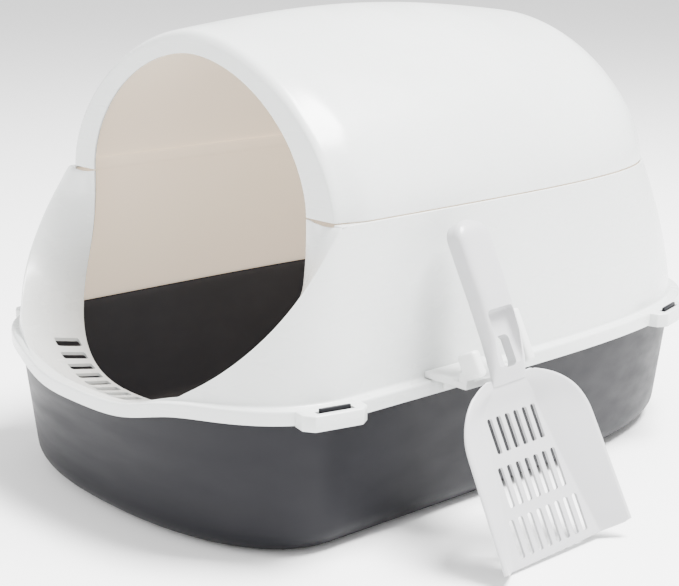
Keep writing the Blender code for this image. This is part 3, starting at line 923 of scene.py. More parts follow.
# ------------------------------------------------------------------------------ litter pan
@dataclass
class LitterPan:
    """Grey pan with a rounded base, a taper and four clip tongues."""

    box: BoxPlan
    gap: float = 0.0067
    taper: float = 0.0130
    base_round: float = 0.0200
    wall: float = 0.0026
    rim: float = 0.1158
    rim_dip: float = 1.25
    tongue: tuple[float, float] = (0.0250, 0.0026)
    tongue_foot: float = 0.1100
    tongue_top: float = 0.1212
    tongue_round: float = 0.0007
    shelf_in: float = 0.0065
    shelf_z: float = 0.1108
    shelf_end: float = 0.0010
    shelf_section: tuple[float, float] = (0.0150, 0.0030)
    shelf_round: float = 0.0005
    columns: int = 288

    def shell(self) -> bpy.types.Object:
        """Builds the pan as one closed wall.

        Returns:
            The pan.
        """
        angles = self.box.even_angles(self.columns + 1, 0.0, 2 * math.pi, self.box.turn_weight)[:-1]
        points: list[Vector] = []
        floor_rows = 10
        round_rows = 12
        wall_rows = 14
        levels = []
        for k in range(round_rows + 1):
            turn = math.pi / 2 * k / round_rows
            inward, rise = 1 - math.sin(turn), 1 - math.cos(turn)
            levels.append((self.base_round * inward, self.base_round * rise))
        for k in range(1, floor_rows):
            share = k / floor_rows
            for a in angles:
                spot = self.box.outline(a, self.gap + self.taper + self.base_round)
                points.append(Vector((spot.x * share, spot.y * share, 0.0)))
        for inward, rise in levels:
            for a in angles:
                points.append(self.wall_spot(a, inward, rise, 0.0))
        for k in range(1, wall_rows + 1):
            share = k / wall_rows
            rise = self.base_round + (self.rim - self.base_round) * share
            for a in angles:
                points.append(self.wall_spot(a, 0.0, rise, smoothstep((share - 0.45) / 0.55)))
        rows = floor_rows - 1 + round_rows + 1 + wall_rows
        faces = grid(rows, self.columns, True)
        points.append(Vector((0.0, 0.0, 0.0)))
        centre = len(points) - 1
        faces += [((k + 1) % self.columns, k, centre) for k in range(self.columns)]
        return moulded_wall("pan_shell", points, faces, self.wall)

    def wall_spot(self, angle: float, inward: float, rise: float, with_dip: float) -> Vector:
        """Point of the pan's outer wall.

        Args:
            angle: place round the outline.
            inward: extra distance in from the wall.
            rise: height above the base.
            with_dip: how much of the rim's dip applies.
        Returns:
            The point.
        """
        spot = self.box.outline(angle, self.gap + self.taper * (1 - rise / self.rim) + inward)
        spot.z = rise - self.rim_dip * self.box.dip(spot) * with_dip
        return spot

    def tongues(self, ears: Sequence[tuple[Vector, Vector, Vector]]) -> bpy.types.Object:
        """Builds the clip tongues with their shelves.

        Args:
            ears: place, along and outward directions of each ear.
        Returns:
            All the tongues, as one piece.
        """
        parts = []
        upright = Vector((0, 0, 1))
        for number, (place, along, outward) in enumerate(ears):
            centre = place + outward * self.box.clip_out
            foot = centre - outward * self.shelf_in
            shelf = block(f"shelf_{number}", Vector((foot.x, foot.y, self.shelf_z)),
                          (self.tongue[0] - self.shelf_end, *self.shelf_section), along, upright,
                          self.shelf_round)
            middle = Vector((centre.x, centre.y, (self.tongue_foot + self.tongue_top) / 2))
            blade = block(f"tongue_{number}", middle, (*self.tongue, self.tongue_top - self.tongue_foot),
                          along, upright, self.tongue_round)
            parts.append(cut(shelf, blade, "UNION"))
        return join("clip_tongues", parts)

    def build(self, finishes: Finishes, ears: Sequence[tuple[Vector, Vector, Vector]]) -> None:
        """Builds, dresses and hands over the pan's pieces.

        Args:
            finishes: the materials.
            ears: place, along and outward directions of each ear.
        """
        # The outer skin takes the grey plastic and the inner skin its lighter copy with painted light.
        shell = dress(self.shell(), finishes.pan, finishes.pan_inside)
        hand_over(shell, Body.PAN, SlotName.GREY, "litter_pan")
        hand_over(dress(self.tongues(ears), finishes.pan), Body.PAN, SlotName.GREY)


# ------------------------------------------------------------------------------ entry hood
@dataclass
class EntryHood:
    """White lower hood: flange, leaning wall and the sheet that sweeps round the entrance."""

    box: BoxPlan
    ear_places: tuple[float, float] = (-0.2120, 0.1900)
    ear_length: float = 0.0520
    ear_reach: float = 0.0130
    ear_slot: tuple[float, float] = (0.0300, 0.0050)
    opening_side: float = 0.0620
    opening_drop: float = 0.0928
    opening_low_power: float = 2.4
    opening_sweep: float = 0.0550
    opening_curve: float = 2.5
    front_columns: int = 241
    back_columns: int = 200
    seam_gap: float = 0.0007
    arc: int = 6
    wall_points: int = 9
    crest_round: tuple[float, float] = (0.0010, 0.0060)
    crest_fade: float = 0.03
    flange_rounds: tuple[float, float] = (0.0027, 0.0026)
    lip_round: tuple[float, float] = (0.0025, 0.010)
    lip_half: float = 0.055
    lip_run: float = 0.065
    lip_share: float = 0.17
    lip_drops: tuple[float, float] = (0.0004, 0.0008)
    sheet_shares: tuple[float, ...] = (0.16, 0.24, 0.32, 0.55, 0.80)
    sheet_spans: tuple[int, ...] = (1, 3, 1, 1, 3, 4)
    sheet_round: float = 0.02
    sag_half: float = 0.075
    sag_run: float = 0.055
    sag_depths: tuple[float, float] = (0.0045, 0.0022)
    sag_shift: float = 0.6
    rim_reach: float = 0.35
    ear_inner: float = 0.0056
    ear_chamfer: float = 0.007
    ear_below: float = 0.0015
    ear_under: float = 0.0004
    ear_round: float = 0.0011
    pocket_inner: float = 0.0080
    pocket_chamfer: float = 0.006
    pocket_under: float = 0.0029
    ledge_y: float = -0.2578
    ledge_z: float = 0.10

    def ears(self) -> list[tuple[Vector, Vector, Vector]]:
        """Finds the middle of each ear on the flange's edge.

        Returns:
            Each ear's place, with its along and outward directions.
        """
        frames = []
        for y in self.ear_places:
            for side in (1, -1):
                low, high = (-math.pi / 2, 0.0) if y < self.box.widest_y else (0.0, math.pi / 2)
                for _ in range(50):
                    middle = (low + high) / 2
                    if self.box.outline(middle).y < y:
                        low = middle
                    else:
                        high = middle
                here = self.box.outline(low)
                along = (self.box.outline(low + 0.002) - here).normalized()
                outward = Vector((along.y, -along.x, 0.0))
                mirror = Vector((side, 1, 1))
                frames.append((here * mirror, along * mirror, outward * mirror))
        return frames

    def hole_track(self, count: int) -> list[Vector]:
        """Lower edge of the entrance, from the left end of the seam to the right.

        Args:
            count: how many points.
        Returns:
            The points.
        """
        track = [(self.box.opening_half, self.box.seam)]
        for a in np.linspace(0.0, math.pi, 721):
            c, s = math.cos(a), math.sin(a)
            power = 2 / self.opening_low_power
            x = math.copysign(self.box.opening_half * abs(c) ** power, c)
            fall = self.opening_side + self.opening_drop * abs(s) ** power
            track.append((x, self.box.seam - fall))
        track.append((-self.box.opening_half, self.box.seam))
        flat = np.array(track[::-1])
        run = np.concatenate([[0.0], np.cumsum(np.hypot(*np.diff(flat, axis=0).T))])
        places = np.linspace(0.0, run[-1], count)
        points = []
        for x, z in zip(np.interp(places, run, flat[:, 0]), np.interp(places, run, flat[:, 1])):
            fall = (self.box.seam - z) / (self.opening_side + self.opening_drop)
            points.append(Vector((x, self.box.face_y - self.opening_sweep * fall ** self.opening_curve,
                                  min(z, self.box.seam - self.seam_gap))))
        return points

    def column(self, angle: float, hole: Vector | None) -> tuple[list[Vector], int]:
        """One upright line of the outer skin, from the skirt to the seam or to the entrance.

        Args:
            angle: place round the outline.
            hole: the point of the entrance's edge it ends at, or None behind the entrance.
        Returns:
            The line's points, and the number of the one that starts the crest.
        """
        box = self.box
        top = box.seam - self.seam_gap
        edge = box.outline(angle)
        drop = box.dip(edge)
        inset = box.flange_width * box.flange_part(angle)
        foot = box.outline(angle, inset, inset * box.front_share)
        foot.z = box.flange_top - box.dip(foot)
        crest = box.hull(angle, top)
        radius = self.crest_round[0]
        if hole is not None:
            crest = box.crest(angle)
            crest.z = min(crest.z, top)
            depth = max(0.0, (top - crest.z) / self.crest_fade)
            radius += (self.crest_round[1] - self.crest_round[0]) * smoothstep(depth)
        lip = 0.0
        if edge.y < box.widest_y:
            lip = 1.0 - smoothstep((abs(edge.x) - self.lip_half) / self.lip_run)
        if hole is not None and lip > 0.0:
            outer_drop, inner_drop = self.lip_drops
            inner_lip = edge.lerp(Vector((hole.x, hole.y, 0.0)), self.lip_share)
            inner_lip.z = box.flange_top - drop - inner_drop
            crest = crest.lerp(inner_lip, lip)
            halfway = Vector((*edge.xy, box.flange_top - drop - outer_drop)).lerp(crest, 0.5)
            foot = foot.lerp(halfway, lip)
            radius += self.lip_round[1] * lip
        corners = [Vector((*edge.xy, z - drop)) for z in (box.skirt_bottom, box.flange_top)] + [foot]
        radii = [0.0, self.flange_rounds[0] + self.lip_round[0] * lip, self.flange_rounds[1]]
        for k in range(1, self.wall_points):
            share = k / self.wall_points
            straight = foot.lerp(crest, share)
            corners.append(box.hull(angle, foot.z + (crest.z - foot.z) * share).lerp(straight, lip))
            radii.append(0.0)
        spans = [3, 2] + [1] * self.wall_points
        if hole is None:
            corners.append(crest)
            radii.append(0.0)
            path = rounded_path(corners, radii, spans, self.arc)
            return path, len(path) - 1
        corners.append(crest)
        radii.append(radius)
        near = 1.0 - smoothstep((abs(edge.x) - self.sag_half) / self.sag_run)
        for share in self.sheet_shares:
            spot = crest.lerp(hole, share)
            spot.z -= self.sag_depths[0] * near * math.sin(math.pi * share ** self.sag_shift)
            spot.z -= self.sag_depths[1] * (1 - near) * math.sin(math.pi * share)
            corners.append(spot)
            radii.append(self.sheet_round)
        corners.append(hole)
        radii.append(0.0)
        path = rounded_path(corners, radii, spans + list(self.sheet_spans), self.arc)
        return path, len(path) - self.rows_after_crest()

    def rows_after_crest(self) -> int:
        """Number of points from the start of the crest's bend to the entrance's edge."""
        bends = (1 + len(self.sheet_shares)) * (self.arc + 1)
        return bends + sum(self.sheet_spans) - len(self.sheet_spans) + 1

    def shell(self) -> bpy.types.Object:
        """Builds the hood's wall and sheet as one closed wall.

        Returns:
            The hood, without its slots.
        """
        box = self.box
        ahead = abs((box.widest_y - box.face_y) / box.front_depth)
        right = -math.asin(ahead ** (box.front_power[1] / 2))
        left = -math.pi - right
        front = box.even_angles(self.front_columns, left, right, box.turn_weight)
        back = box.even_angles(self.back_columns + 2, right, left + 2 * math.pi, box.turn_weight)[1:-1]
        holes = self.hole_track(self.front_columns)
        lines = []
        crest_row = 0
        for a, hole in zip(front, holes):
            line, crest_row = self.column(a, hole)
            lines.append(line)
        for a in back:
            line, last = self.column(a, None)
            lines.append(line)
            if last != crest_row:
                raise ValueError(f"the hood's columns don't match: {last} and {crest_row}")
        columns = len(lines)
        points = [line[r] for r in range(crest_row + 1) for line in lines]
        faces = grid(crest_row + 1, columns, True)
        rows = len(lines[0])
        base = crest_row * columns
        start = len(points)
        for r in range(crest_row + 1, rows):
            points += [line[r] for line in lines[:self.front_columns]]
        for r in range(crest_row, rows - 1):
            for c in range(self.front_columns - 1):
                row = start + (r - crest_row) * self.front_columns
                a = base + c if r == crest_row else row - self.front_columns + c
                d = row + c
                faces.append((a, a + 1, d + 1, d))
        return moulded_wall("hood_shell", points, faces, box.wall, rim_reach=self.rim_reach)

    def shoulder(self, dome: "Dome") -> bpy.types.Object:
        """Builds the small steps beside the dome's front corners.

        Args:
            dome: the dome they reach to.
        Returns:
            Both steps, as one piece.
        """
        top = self.box.seam - self.seam_gap
        tuck, clear, least = 0.0010, 0.0006, 0.0008
        behind = [self.box.hull(-a, top) for a in np.linspace(0.0, 0.9, 400)]
        outer = [p for p in behind if p.y >= self.box.face_y + clear]
        ahead = [self.box.hull(a, top) for a in np.linspace(0.0, 0.25, 80)[1:]]
        edge = outer[::-6] + ahead[::4]
        pieces = []
        for side in (-1, 1):
            points = []
            for share in (0.0, 0.5, 1.0):
                for p in edge:
                    start = abs(p.x) - tuck
                    stop = min(dome.half_width(p.y) + clear, start - least)
                    points.append(Vector((side * (start + (stop - start) * share), p.y, top + 0.0002)))
            faces = grid(3, len(edge), False)
            if side < 0:
                faces = [f[::-1] for f in faces]
            pieces.append(moulded_wall(f"shoulder_{side + 1}", points, faces, 0.0018, 4, 0.4))
        return join("hood_shoulders", pieces)

    def ear_outline(self, frame: tuple[Vector, Vector, Vector], half: float, reach: float, inner: float,
                    chamfer: float) -> list[Vector]:
        """Plan of an ear, counter-clockwise.

        Args:
            frame: the ear's place, along and outward directions.
            half: half its length.
            reach: how far it stands out.
            inner: how far it goes in.
            chamfer: cut across its outer corners.
        Returns:
            The outline's points.
        """
        place, along, outward = frame
        flat = [(-half, -inner), (half, -inner), (half, reach - chamfer), (half - chamfer, reach),
                (-half + chamfer, reach), (-half, reach - chamfer)]
        outline = [place + along * u + outward * v for u, v in flat]
        return outline if along.cross(outward).z > 0 else outline[::-1]

    def ear_pieces(self) -> tuple[bpy.types.Object, bpy.types.Object]:
        """Builds the ears, and the hollows and slots that are cut from them and from the skirt.

        Returns:
            The ears, and the cutters.
        """
        box = self.box
        half = self.ear_length / 2
        ears, cutters = [], []
        for number, frame in enumerate(self.ears()):
            outline = self.ear_outline(frame, half, self.ear_reach, self.ear_inner, self.ear_chamfer)
            ears.append(prism(f"ear_{number}", outline, box.skirt_bottom - self.ear_below,
                              box.flange_top - self.ear_under, self.ear_round))
            hollow = self.ear_outline(frame, half - box.wall, self.ear_reach - box.wall,
                                      self.pocket_inner, self.pocket_chamfer)
            pocket = prism(f"pocket_{number}", hollow, box.skirt_bottom - 0.010,
                           box.flange_top - self.pocket_under)
            place, along, outward = frame
            centre = place + outward * box.clip_out
            slot = block(f"ear_slot_{number}", Vector((centre.x, centre.y, box.flange_top)),
                         (*self.ear_slot, 0.02), along, Vector((0, 0, 1)))
            cutters.append(cut(pocket, slot, "UNION"))
        return join("hood_ears", ears), join("ear_cutters", cutters)

    def drain_slots(self) -> bpy.types.Object:
        """Makes the cutters of the slots in the ledge inside the lip.

        Returns:
            The cutters, as one object.
        """
        row = SlotRow(14, 0.0155, 0.0215, 0.0088, 0.07, 0.0018, fan=-1.6, bow=1.40)
        turn = Matrix(((0, 1, 0, 0), (1, 0, 0, self.ledge_y), (0, 0, -1, self.ledge_z), (0, 0, 0, 1)))
        return row.cutter("drain_slots", turn)

    def build(self, finishes: Finishes, dome: "Dome") -> None:
        """Builds, dresses and hands over the hood.

        Args:
            finishes: the materials.
            dome: the dome that stands on it.
        """
        # Inner faces take the lining, with its painted warm shade and painted glow.
        hood = dress(self.shell(), finishes.hood, finishes.lining)
        ears, cutters = self.ear_pieces()
        cut(hood, ears, "UNION")
        cut(hood, cutters)
        cut(hood, self.drain_slots())
        dress(hood, finishes.hood, finishes.lining)
        hand_over(hood, Body.HOOD, SlotName.WHITE, "entry_hood")
        hand_over(dress(self.shoulder(dome), finishes.hood, finishes.hood), Body.HOOD, SlotName.WHITE)


# ------------------------------------------------------------------------------ dome
@dataclass
class Dome:
    """White lift-off roof with a flat front face and a tongue inside the hood."""

    box: BoxPlan
    arch_half: float = 0.1695
    arch_rise: float = 0.1248
    arch_power: float = 1.77
    crown: float = 0.0130
    crown_run: float = 1.25
    corner_run: float = 0.03
    rear_round: float = 0.0935
    shoulder: float = 0.0015
    edge_round: float = 0.0070
    seam_round: float = 0.35
    tongue_depth: float = 0.0070
    tongue_inset: float = 0.0023
    tongue_setback: float = 0.012
    middle_y: float = 0.02
    seam_gap: float = 0.0007
    columns: int = 400
    rows: int = 72

    def front_setback(self, y: float) -> float:
        """How far the rounded front edge draws the roof in.

        Args:
            y: place along.
        Returns:
            The distance, 0 behind the rounding.
        """
        run = self.edge_round - (y - self.box.face_y)
        if run <= 0.0:
            return 0.0
        return self.edge_round - math.sqrt(max(0.0, self.edge_round ** 2 - run ** 2))

    def half_width(self, y: float) -> float:
        """Half width of the roof at the seam.

        Args:
            y: place along.
        Returns:
            The half width.
        """
        box = self.box
        inset = box.flange_width + box.side_lean + self.shoulder
        rear = box.length - box.front_depth - box.flange_width - box.rear_lean - self.shoulder
        if y < box.widest_y:
            full = box.width / 2 - inset
        else:
            along = min(1.0, (y - box.widest_y) / rear)
            full = (box.width / 2 - inset) * (1 - along ** box.rear_power[1]) ** (1 / box.rear_power[0])
        corner = smoothstep((y - box.face_y) / self.corner_run)
        if corner < 1.0:
            full = min(full, self.arch_half + (full - self.arch_half) * corner)
        return full - self.front_setback(y) * self.seam_round

    def height(self, x: float, y: float) -> float:
        """Height of the roof's skin above the seam.

        Args:
            x: place across.
            y: place along.
        Returns:
            The height.
        """
        rear = self.box.length / 2 - self.box.flange_width - self.box.rear_lean
        run = min(1.0, max(0.0, (y - self.box.face_y) / (rear - self.box.face_y)))
        bulge = math.sin(math.pi * min(1.0, run * self.crown_run))
        height = self.arch_rise + self.crown * bulge - self.front_setback(y)
        behind = rear - y
        if behind < self.rear_round:
            height *= math.sqrt(max(0.0, 1 - ((self.rear_round - behind) / self.rear_round) ** 2))
        across = min(1.0, abs(x) / max(self.half_width(y), 1e-6))
        return height * (1 - across ** self.arch_power) ** (1 / self.arch_power)

    def footprint(self) -> tuple[list[Vector], int]:
        """Lower and front edge of the roof's skin, from the left over the arch and round the back.

        Returns:
            The edge's points, and how many of them are on the arch.
        """
        seam = self.box.seam + self.seam_gap
        half, rise = self.arch_half - self.edge_round * self.seam_round, self.arch_rise - self.edge_round
        arch = []
        for a in np.linspace(math.pi, 0.0, 1200):
            c, s = math.cos(a), math.sin(a)
            power = 2 / self.arch_power
            x = math.copysign(half * abs(c) ** power, c)
            arch.append((x, self.box.face_y, seam + rise * abs(s) ** power))
        arch_columns = self.columns // 2 + 1
        points = even_by_turn(np.array(arch), arch_columns, 0.02)
        rear = self.box.length / 2 - self.box.flange_width - self.box.rear_lean - self.shoulder
        turn = np.linspace(0.0, 1.0, 1500) ** 1.6
        side = [self.box.face_y + (rear - self.box.face_y) * (1 - math.cos(t * math.pi)) / 2 for t in turn]
        right = [(self.half_width(y), y, seam) for y in side]
        left = [(-x, y, z) for x, y, z in reversed(right)]
        back = even_by_turn(np.array(right + left), self.columns - arch_columns + 2, 0.03)
        edge = np.concatenate([points, back[1:-1]])
        return [Vector(p) for p in edge], arch_columns

    def shell(self) -> bpy.types.Object:
        """Builds the roof and its front face as one closed wall.

        Returns:
            The dome.
        """
        seam = self.box.seam + self.seam_gap
        edge, arch_columns = self.footprint()
        count = len(edge)
        points = list(edge)
        for row in range(1, self.rows):
            keep = math.cos(math.pi / 2 * row / self.rows)
            for spot in edge:
                x, y = spot.x * keep, self.middle_y + (spot.y - self.middle_y) * keep
                points.append(Vector((x, y, seam + self.height(x, y))))
        faces = grid(self.rows, count, True)
        points.append(Vector((0.0, self.middle_y, seam + self.height(0.0, self.middle_y))))
        last = (self.rows - 1) * count
        faces += [(last + c, last + (c + 1) % count, len(points) - 1) for c in range(count)]
        first = len(points)
        face_rows = 6
        inner = []
        for a in np.linspace(math.pi, 0.0, 1200):
            c, s = math.cos(a), math.sin(a)
            power = 2 / self.box.opening_power
            inner.append((math.copysign(self.box.opening_half * abs(c) ** power, c), self.box.face_y,
                          seam + self.box.opening_rise * abs(s) ** power))
        inner_edge = even_by_turn(np.array(inner), arch_columns, 0.02)
        for row in range(1, face_rows + 1):
            for k in range(arch_columns):
                points.append(edge[k].lerp(Vector(inner_edge[k]), row / face_rows))
        for row in range(face_rows):
            for k in range(arch_columns - 1):
                a = k if row == 0 else first + (row - 1) * arch_columns + k
                c = first + row * arch_columns + k + 1
                faces.append((a + 1, a, c - 1, c))
        return moulded_wall("dome_shell", points, faces, self.box.wall * 0.9, rim_reach=self.seam_round)

    def tongue(self) -> bpy.types.Object:
        """Builds the tongue that stands inside the hood behind the front face.

        Returns:
            The tongue.
        """
        edge, arch_columns = self.footprint()
        back = [p for p in edge[arch_columns:] if p.y > self.box.face_y + self.tongue_setback]
        points = []
        for depth in (-0.0030, 0.0, 0.0035, self.tongue_depth):
            for spot in back:
                reach = Vector((spot.x, spot.y - self.middle_y))
                scale = (reach.length - self.tongue_inset) / reach.length
                points.append(Vector((spot.x * scale, self.middle_y + reach.y * scale,
                                      self.box.seam + 0.0006 - depth)))
        faces = [f[::-1] for f in grid(4, len(back), False)]
        return moulded_wall("dome_tongue", points, faces, self.box.wall * 0.8)

    def build(self, finishes: Finishes) -> None:
        """Builds, dresses and hands over the dome's pieces.

        Args:
            finishes: the materials.
        """
        # The dome's inner skin and its tongue take the lining, with its painted warm shade and painted glow.
        hand_over(dress(self.shell(), finishes.hood, finishes.lining), Body.LID, SlotName.WHITE, "dome")
        hand_over(dress(self.tongue(), finishes.lining, finishes.lining), Body.LID, SlotName.WHITE)


# ------------------------------------------------------------------------------ scoop and holder
@dataclass
class Scoop:
    """White litter scoop, blade and handle in one moulding."""

    tilt: float = math.radians(25.7)
    roll: float = math.radians(2.0)
    neck: tuple[float, float, float] = (0.2431, -0.0840, 0.1264)
    wall: float = 0.0022
    handle_length: float = 0.1190
    handle_width: float = 0.0340
    handle_thick: float = 0.0160
    handle_back: float = -0.0018
    handle_form: tuple[tuple[float, float, float], ...] = (
        (-0.098, 1.00, 1.00), (-0.060, 0.97, 1.00), (-0.030, 0.98, 0.88), (-0.010, 1.02, 0.52),
        (0.000, 1.04, 0.16), (0.004, 1.06, 0.0125))
    handle_steps: int = 40
    tip_share: float = 0.85
    tip_least: float = 0.0015
    tip_thick: float = 0.45
    thumb_recess: tuple[tuple[float, float, float], tuple[float, float, float], float] = (
        (-0.050, -0.0132, 0.0070), (-0.006, 0.0132, 0.03), 0.0030)
    hanging_eye: tuple[tuple[float, float, float], tuple[float, float, float], float] = (
        (-0.0305, -0.0065, -0.02), (-0.0065, 0.0065, 0.03), 0.0040)
    handle_square: float = 4.2
    blade_length: float = 0.1310
    blade_half: float = 0.0660
    blade_flare: float = 0.004
    shoulder_lead: float = 0.004
    shoulder_run: float = 0.050
    shoulder_powers: tuple[float, float] = (2.2, 2.0)
    root_half: float = 0.018
    floor_widths: tuple[float, float, float] = (0.0160, 0.010, 0.0230)
    floor_run: float = 0.02
    floor_power: float = 1.3
    side_height: float = 0.0140
    side_run: float = 0.03
    side_least: float = 0.0010
    drop: float = 0.0090
    drop_run: float = 0.026
    side_spread: float = 0.006
    end_pull: float = 0.0018
    end_run: float = 0.012
    lip: float = 0.0024
    blade_rounds: tuple[float, float] = (0.0012, 0.0045)
    slot_section: tuple[float, float, float] = (0.0052, 0.012, 0.0018)
    rows: tuple[tuple[float, float, int, float], ...] = (
        (0.0245, 0.0510, 6, 0.0094), (0.0600, 0.0900, 7, 0.0096), (0.0975, 0.1260, 8, 0.0100))

    def axes(self) -> tuple[Vector, Vector, Vector]:
        """Works out the scoop's own directions.

        Returns:
            Down the scoop, across it and out of its face.
        """
        down = Vector((math.sin(self.tilt), math.sin(self.roll), -math.cos(self.tilt))).normalized()
        across = Vector((0.0, 1.0, 0.0))
        across = (across - down * across.dot(down)).normalized()
        face = down.cross(across).normalized()
        return down, across, face if face.x > 0 else -face

    def spot(self, s: float, w: float, n: float) -> Vector:
        """Place of a point given on the scoop's own directions.

        Args:
            s: distance down from the neck.
            w: distance across.
            n: distance out of the face.
        Returns:
            The point.
        """
        down, across, face = self.axes()
        return Vector(self.neck) + down * s + across * w + face * n

    def edge_half(self, s: float) -> float:
        """Half width of the blade's top edge.

        Args:
            s: distance down from the neck.
        Returns:
            The half width.
        """
        left = 1 - min(1.0, (s + self.shoulder_lead) / self.shoulder_run)
        shoulder = self.blade_half * (1 - left ** self.shoulder_powers[0]) ** (1 / self.shoulder_powers[1])
        return max(self.root_half, shoulder) + self.blade_flare * max(0.0, s) / self.blade_length

    def floor_half(self, s: float) -> float:
        """Half width of the blade's flat floor.

        Args:
            s: distance down from the neck.
        Returns:
            The half width.
        """
        root, swell, flare = self.floor_widths
        along = max(0.0, s / self.blade_length)
        return root + swell * smoothstep(s / self.floor_run) + flare * along ** self.floor_power

    def rim_height(self, s: float) -> float:
        """Height of the blade's side walls."""
        return self.side_height * smoothstep((s + self.shoulder_lead) / self.side_run) + self.side_least

    def floor_drop(self, s: float) -> float:
        """How far the blade's floor lies behind the handle's back."""
        return self.drop * smoothstep(s / self.drop_run)

    def blade(self) -> bpy.types.Object:
        """Builds the blade's curved sheet.

        Returns:
            The blade, without its slots.
        """
        stations = list(np.linspace(0.0, 1.0, 56) ** 1.5 * self.blade_length)
        points = []
        columns = 0
        for s in stations:
            floor, edge, rise = self.floor_half(s), self.edge_half(s), self.rim_height(s)
            edge = max(edge, floor + self.side_spread)
            end = smoothstep((s - self.blade_length + self.end_run) / self.end_run)
            pull = self.end_pull * end * end
            lip = edge - self.lip
            corners = [Vector((x, y, 0)) for x, y in ((-edge, rise), (-lip, rise), (-floor, 0), (floor, 0),
                                                      (lip, rise), (edge, rise))]
            lip_round, floor_round = self.blade_rounds
            radii = [0.0, lip_round, floor_round, floor_round, lip_round, 0.0]
            path = rounded_path(corners, radii, [2, 8, 14, 8, 2])
            columns = len(path)
            for p in path:
                share = abs(p.x) / edge
                points.append(self.spot(s - pull * share ** 6, p.x, p.y - self.floor_drop(s)))
        faces = [f[::-1] for f in grid(len(stations), columns, False)]
        return moulded_wall("scoop_blade", points, faces, self.wall, 6, 0.9)

    def handle(self) -> bpy.types.Object:
        """Builds the handle, rounded at its end and running into the blade's root.

        Returns:
            The handle.
        """
        radius = self.handle_width / 2
        sections = []
        tip_steps = 12
        for k in range(tip_steps + 1):
            turn = math.pi / 2 * k / tip_steps
            along = -self.handle_length + radius * self.tip_share * (1 - math.cos(turn))
            thick = self.tip_thick + (1 - self.tip_thick) * math.sin(turn)
            sections.append((along, max(self.tip_least, radius * math.sin(turn)), self.handle_thick * thick))
        form = np.array(self.handle_form)
        for s in np.linspace(sections[-1][0], self.handle_form[-1][0], self.handle_steps)[1:]:
            sections.append((float(s), radius * float(np.interp(s, form[:, 0], form[:, 1])),
                             self.handle_thick * float(np.interp(s, form[:, 0], form[:, 2]))))
        points = []
        around = 44
        power = 2 / self.handle_square
        for s, half, thick in sections:
            middle, rise = (thick + self.handle_back) / 2, (thick - self.handle_back) / 2
            for k in range(around):
                a = 2 * math.pi * k / around
                w = math.copysign(half * abs(math.cos(a)) ** power, math.cos(a))
                n = middle + math.copysign(rise * abs(math.sin(a)) ** power, math.sin(a))
                points.append(self.spot(s, w, n))
        faces = grid(len(sections), around, True)
        faces.append(tuple(range(around))[::-1])
        last = (len(sections) - 1) * around
        faces.append(tuple(last + k for k in range(around)))
        thing = mesh_object("scoop_handle_form", points, faces)
        made = bmesh.new()
        made.from_mesh(thing.data)
        bmesh.ops.recalc_face_normals(made, faces=made.faces)
        made.to_mesh(thing.data)
        made.free()
        return thing

    def form(self, name: str, low: tuple[float, float, float], high: tuple[float, float, float],
             edge: float) -> bpy.types.Object:
        """A softened block on the scoop's own directions.

        Args:
            name: the object's name.
            low: one corner, down, across and out of the scoop.
            high: the opposite corner.
            edge: rounding of its edges.
        Returns:
            The new object.
        """
        down, _, face = self.axes()
        middle = [(a + b) / 2 for a, b in zip(low, high)]
        size = [b - a for a, b in zip(low, high)]
        return block(name, self.spot(*middle), size, down, face, edge)

    def build(self, finishes: Finishes) -> None:
        """Builds, dresses and hands over the scoop.

        Args:
            finishes: the materials.
        """
        scoop = self.blade()
        handle = self.handle()
        cut(handle, self.form("thumb_recess", *self.thumb_recess))
        cut(handle, self.form("hanging_eye", *self.hanging_eye))
        cut(scoop, handle, "UNION")
        down, across, face = self.axes()
        for number, (start, stop, count, pitch) in enumerate(self.rows):
            row = SlotRow(count, pitch, stop - start, *self.slot_section)
            place = Matrix((down, across, face)).transposed().to_4x4()
            place.translation = self.spot((start + stop) / 2, 0.0, -self.floor_drop(stop))
            cut(scoop, row.cutter(f"scoop_slots_{number}", place))
        scoop.name = "scoop_body"
        dress(scoop, finishes.scoop, finishes.scoop, sharp=42.0)
        hand_over(scoop, Body.SHOVEL, SlotName.WHITE, "scoop")


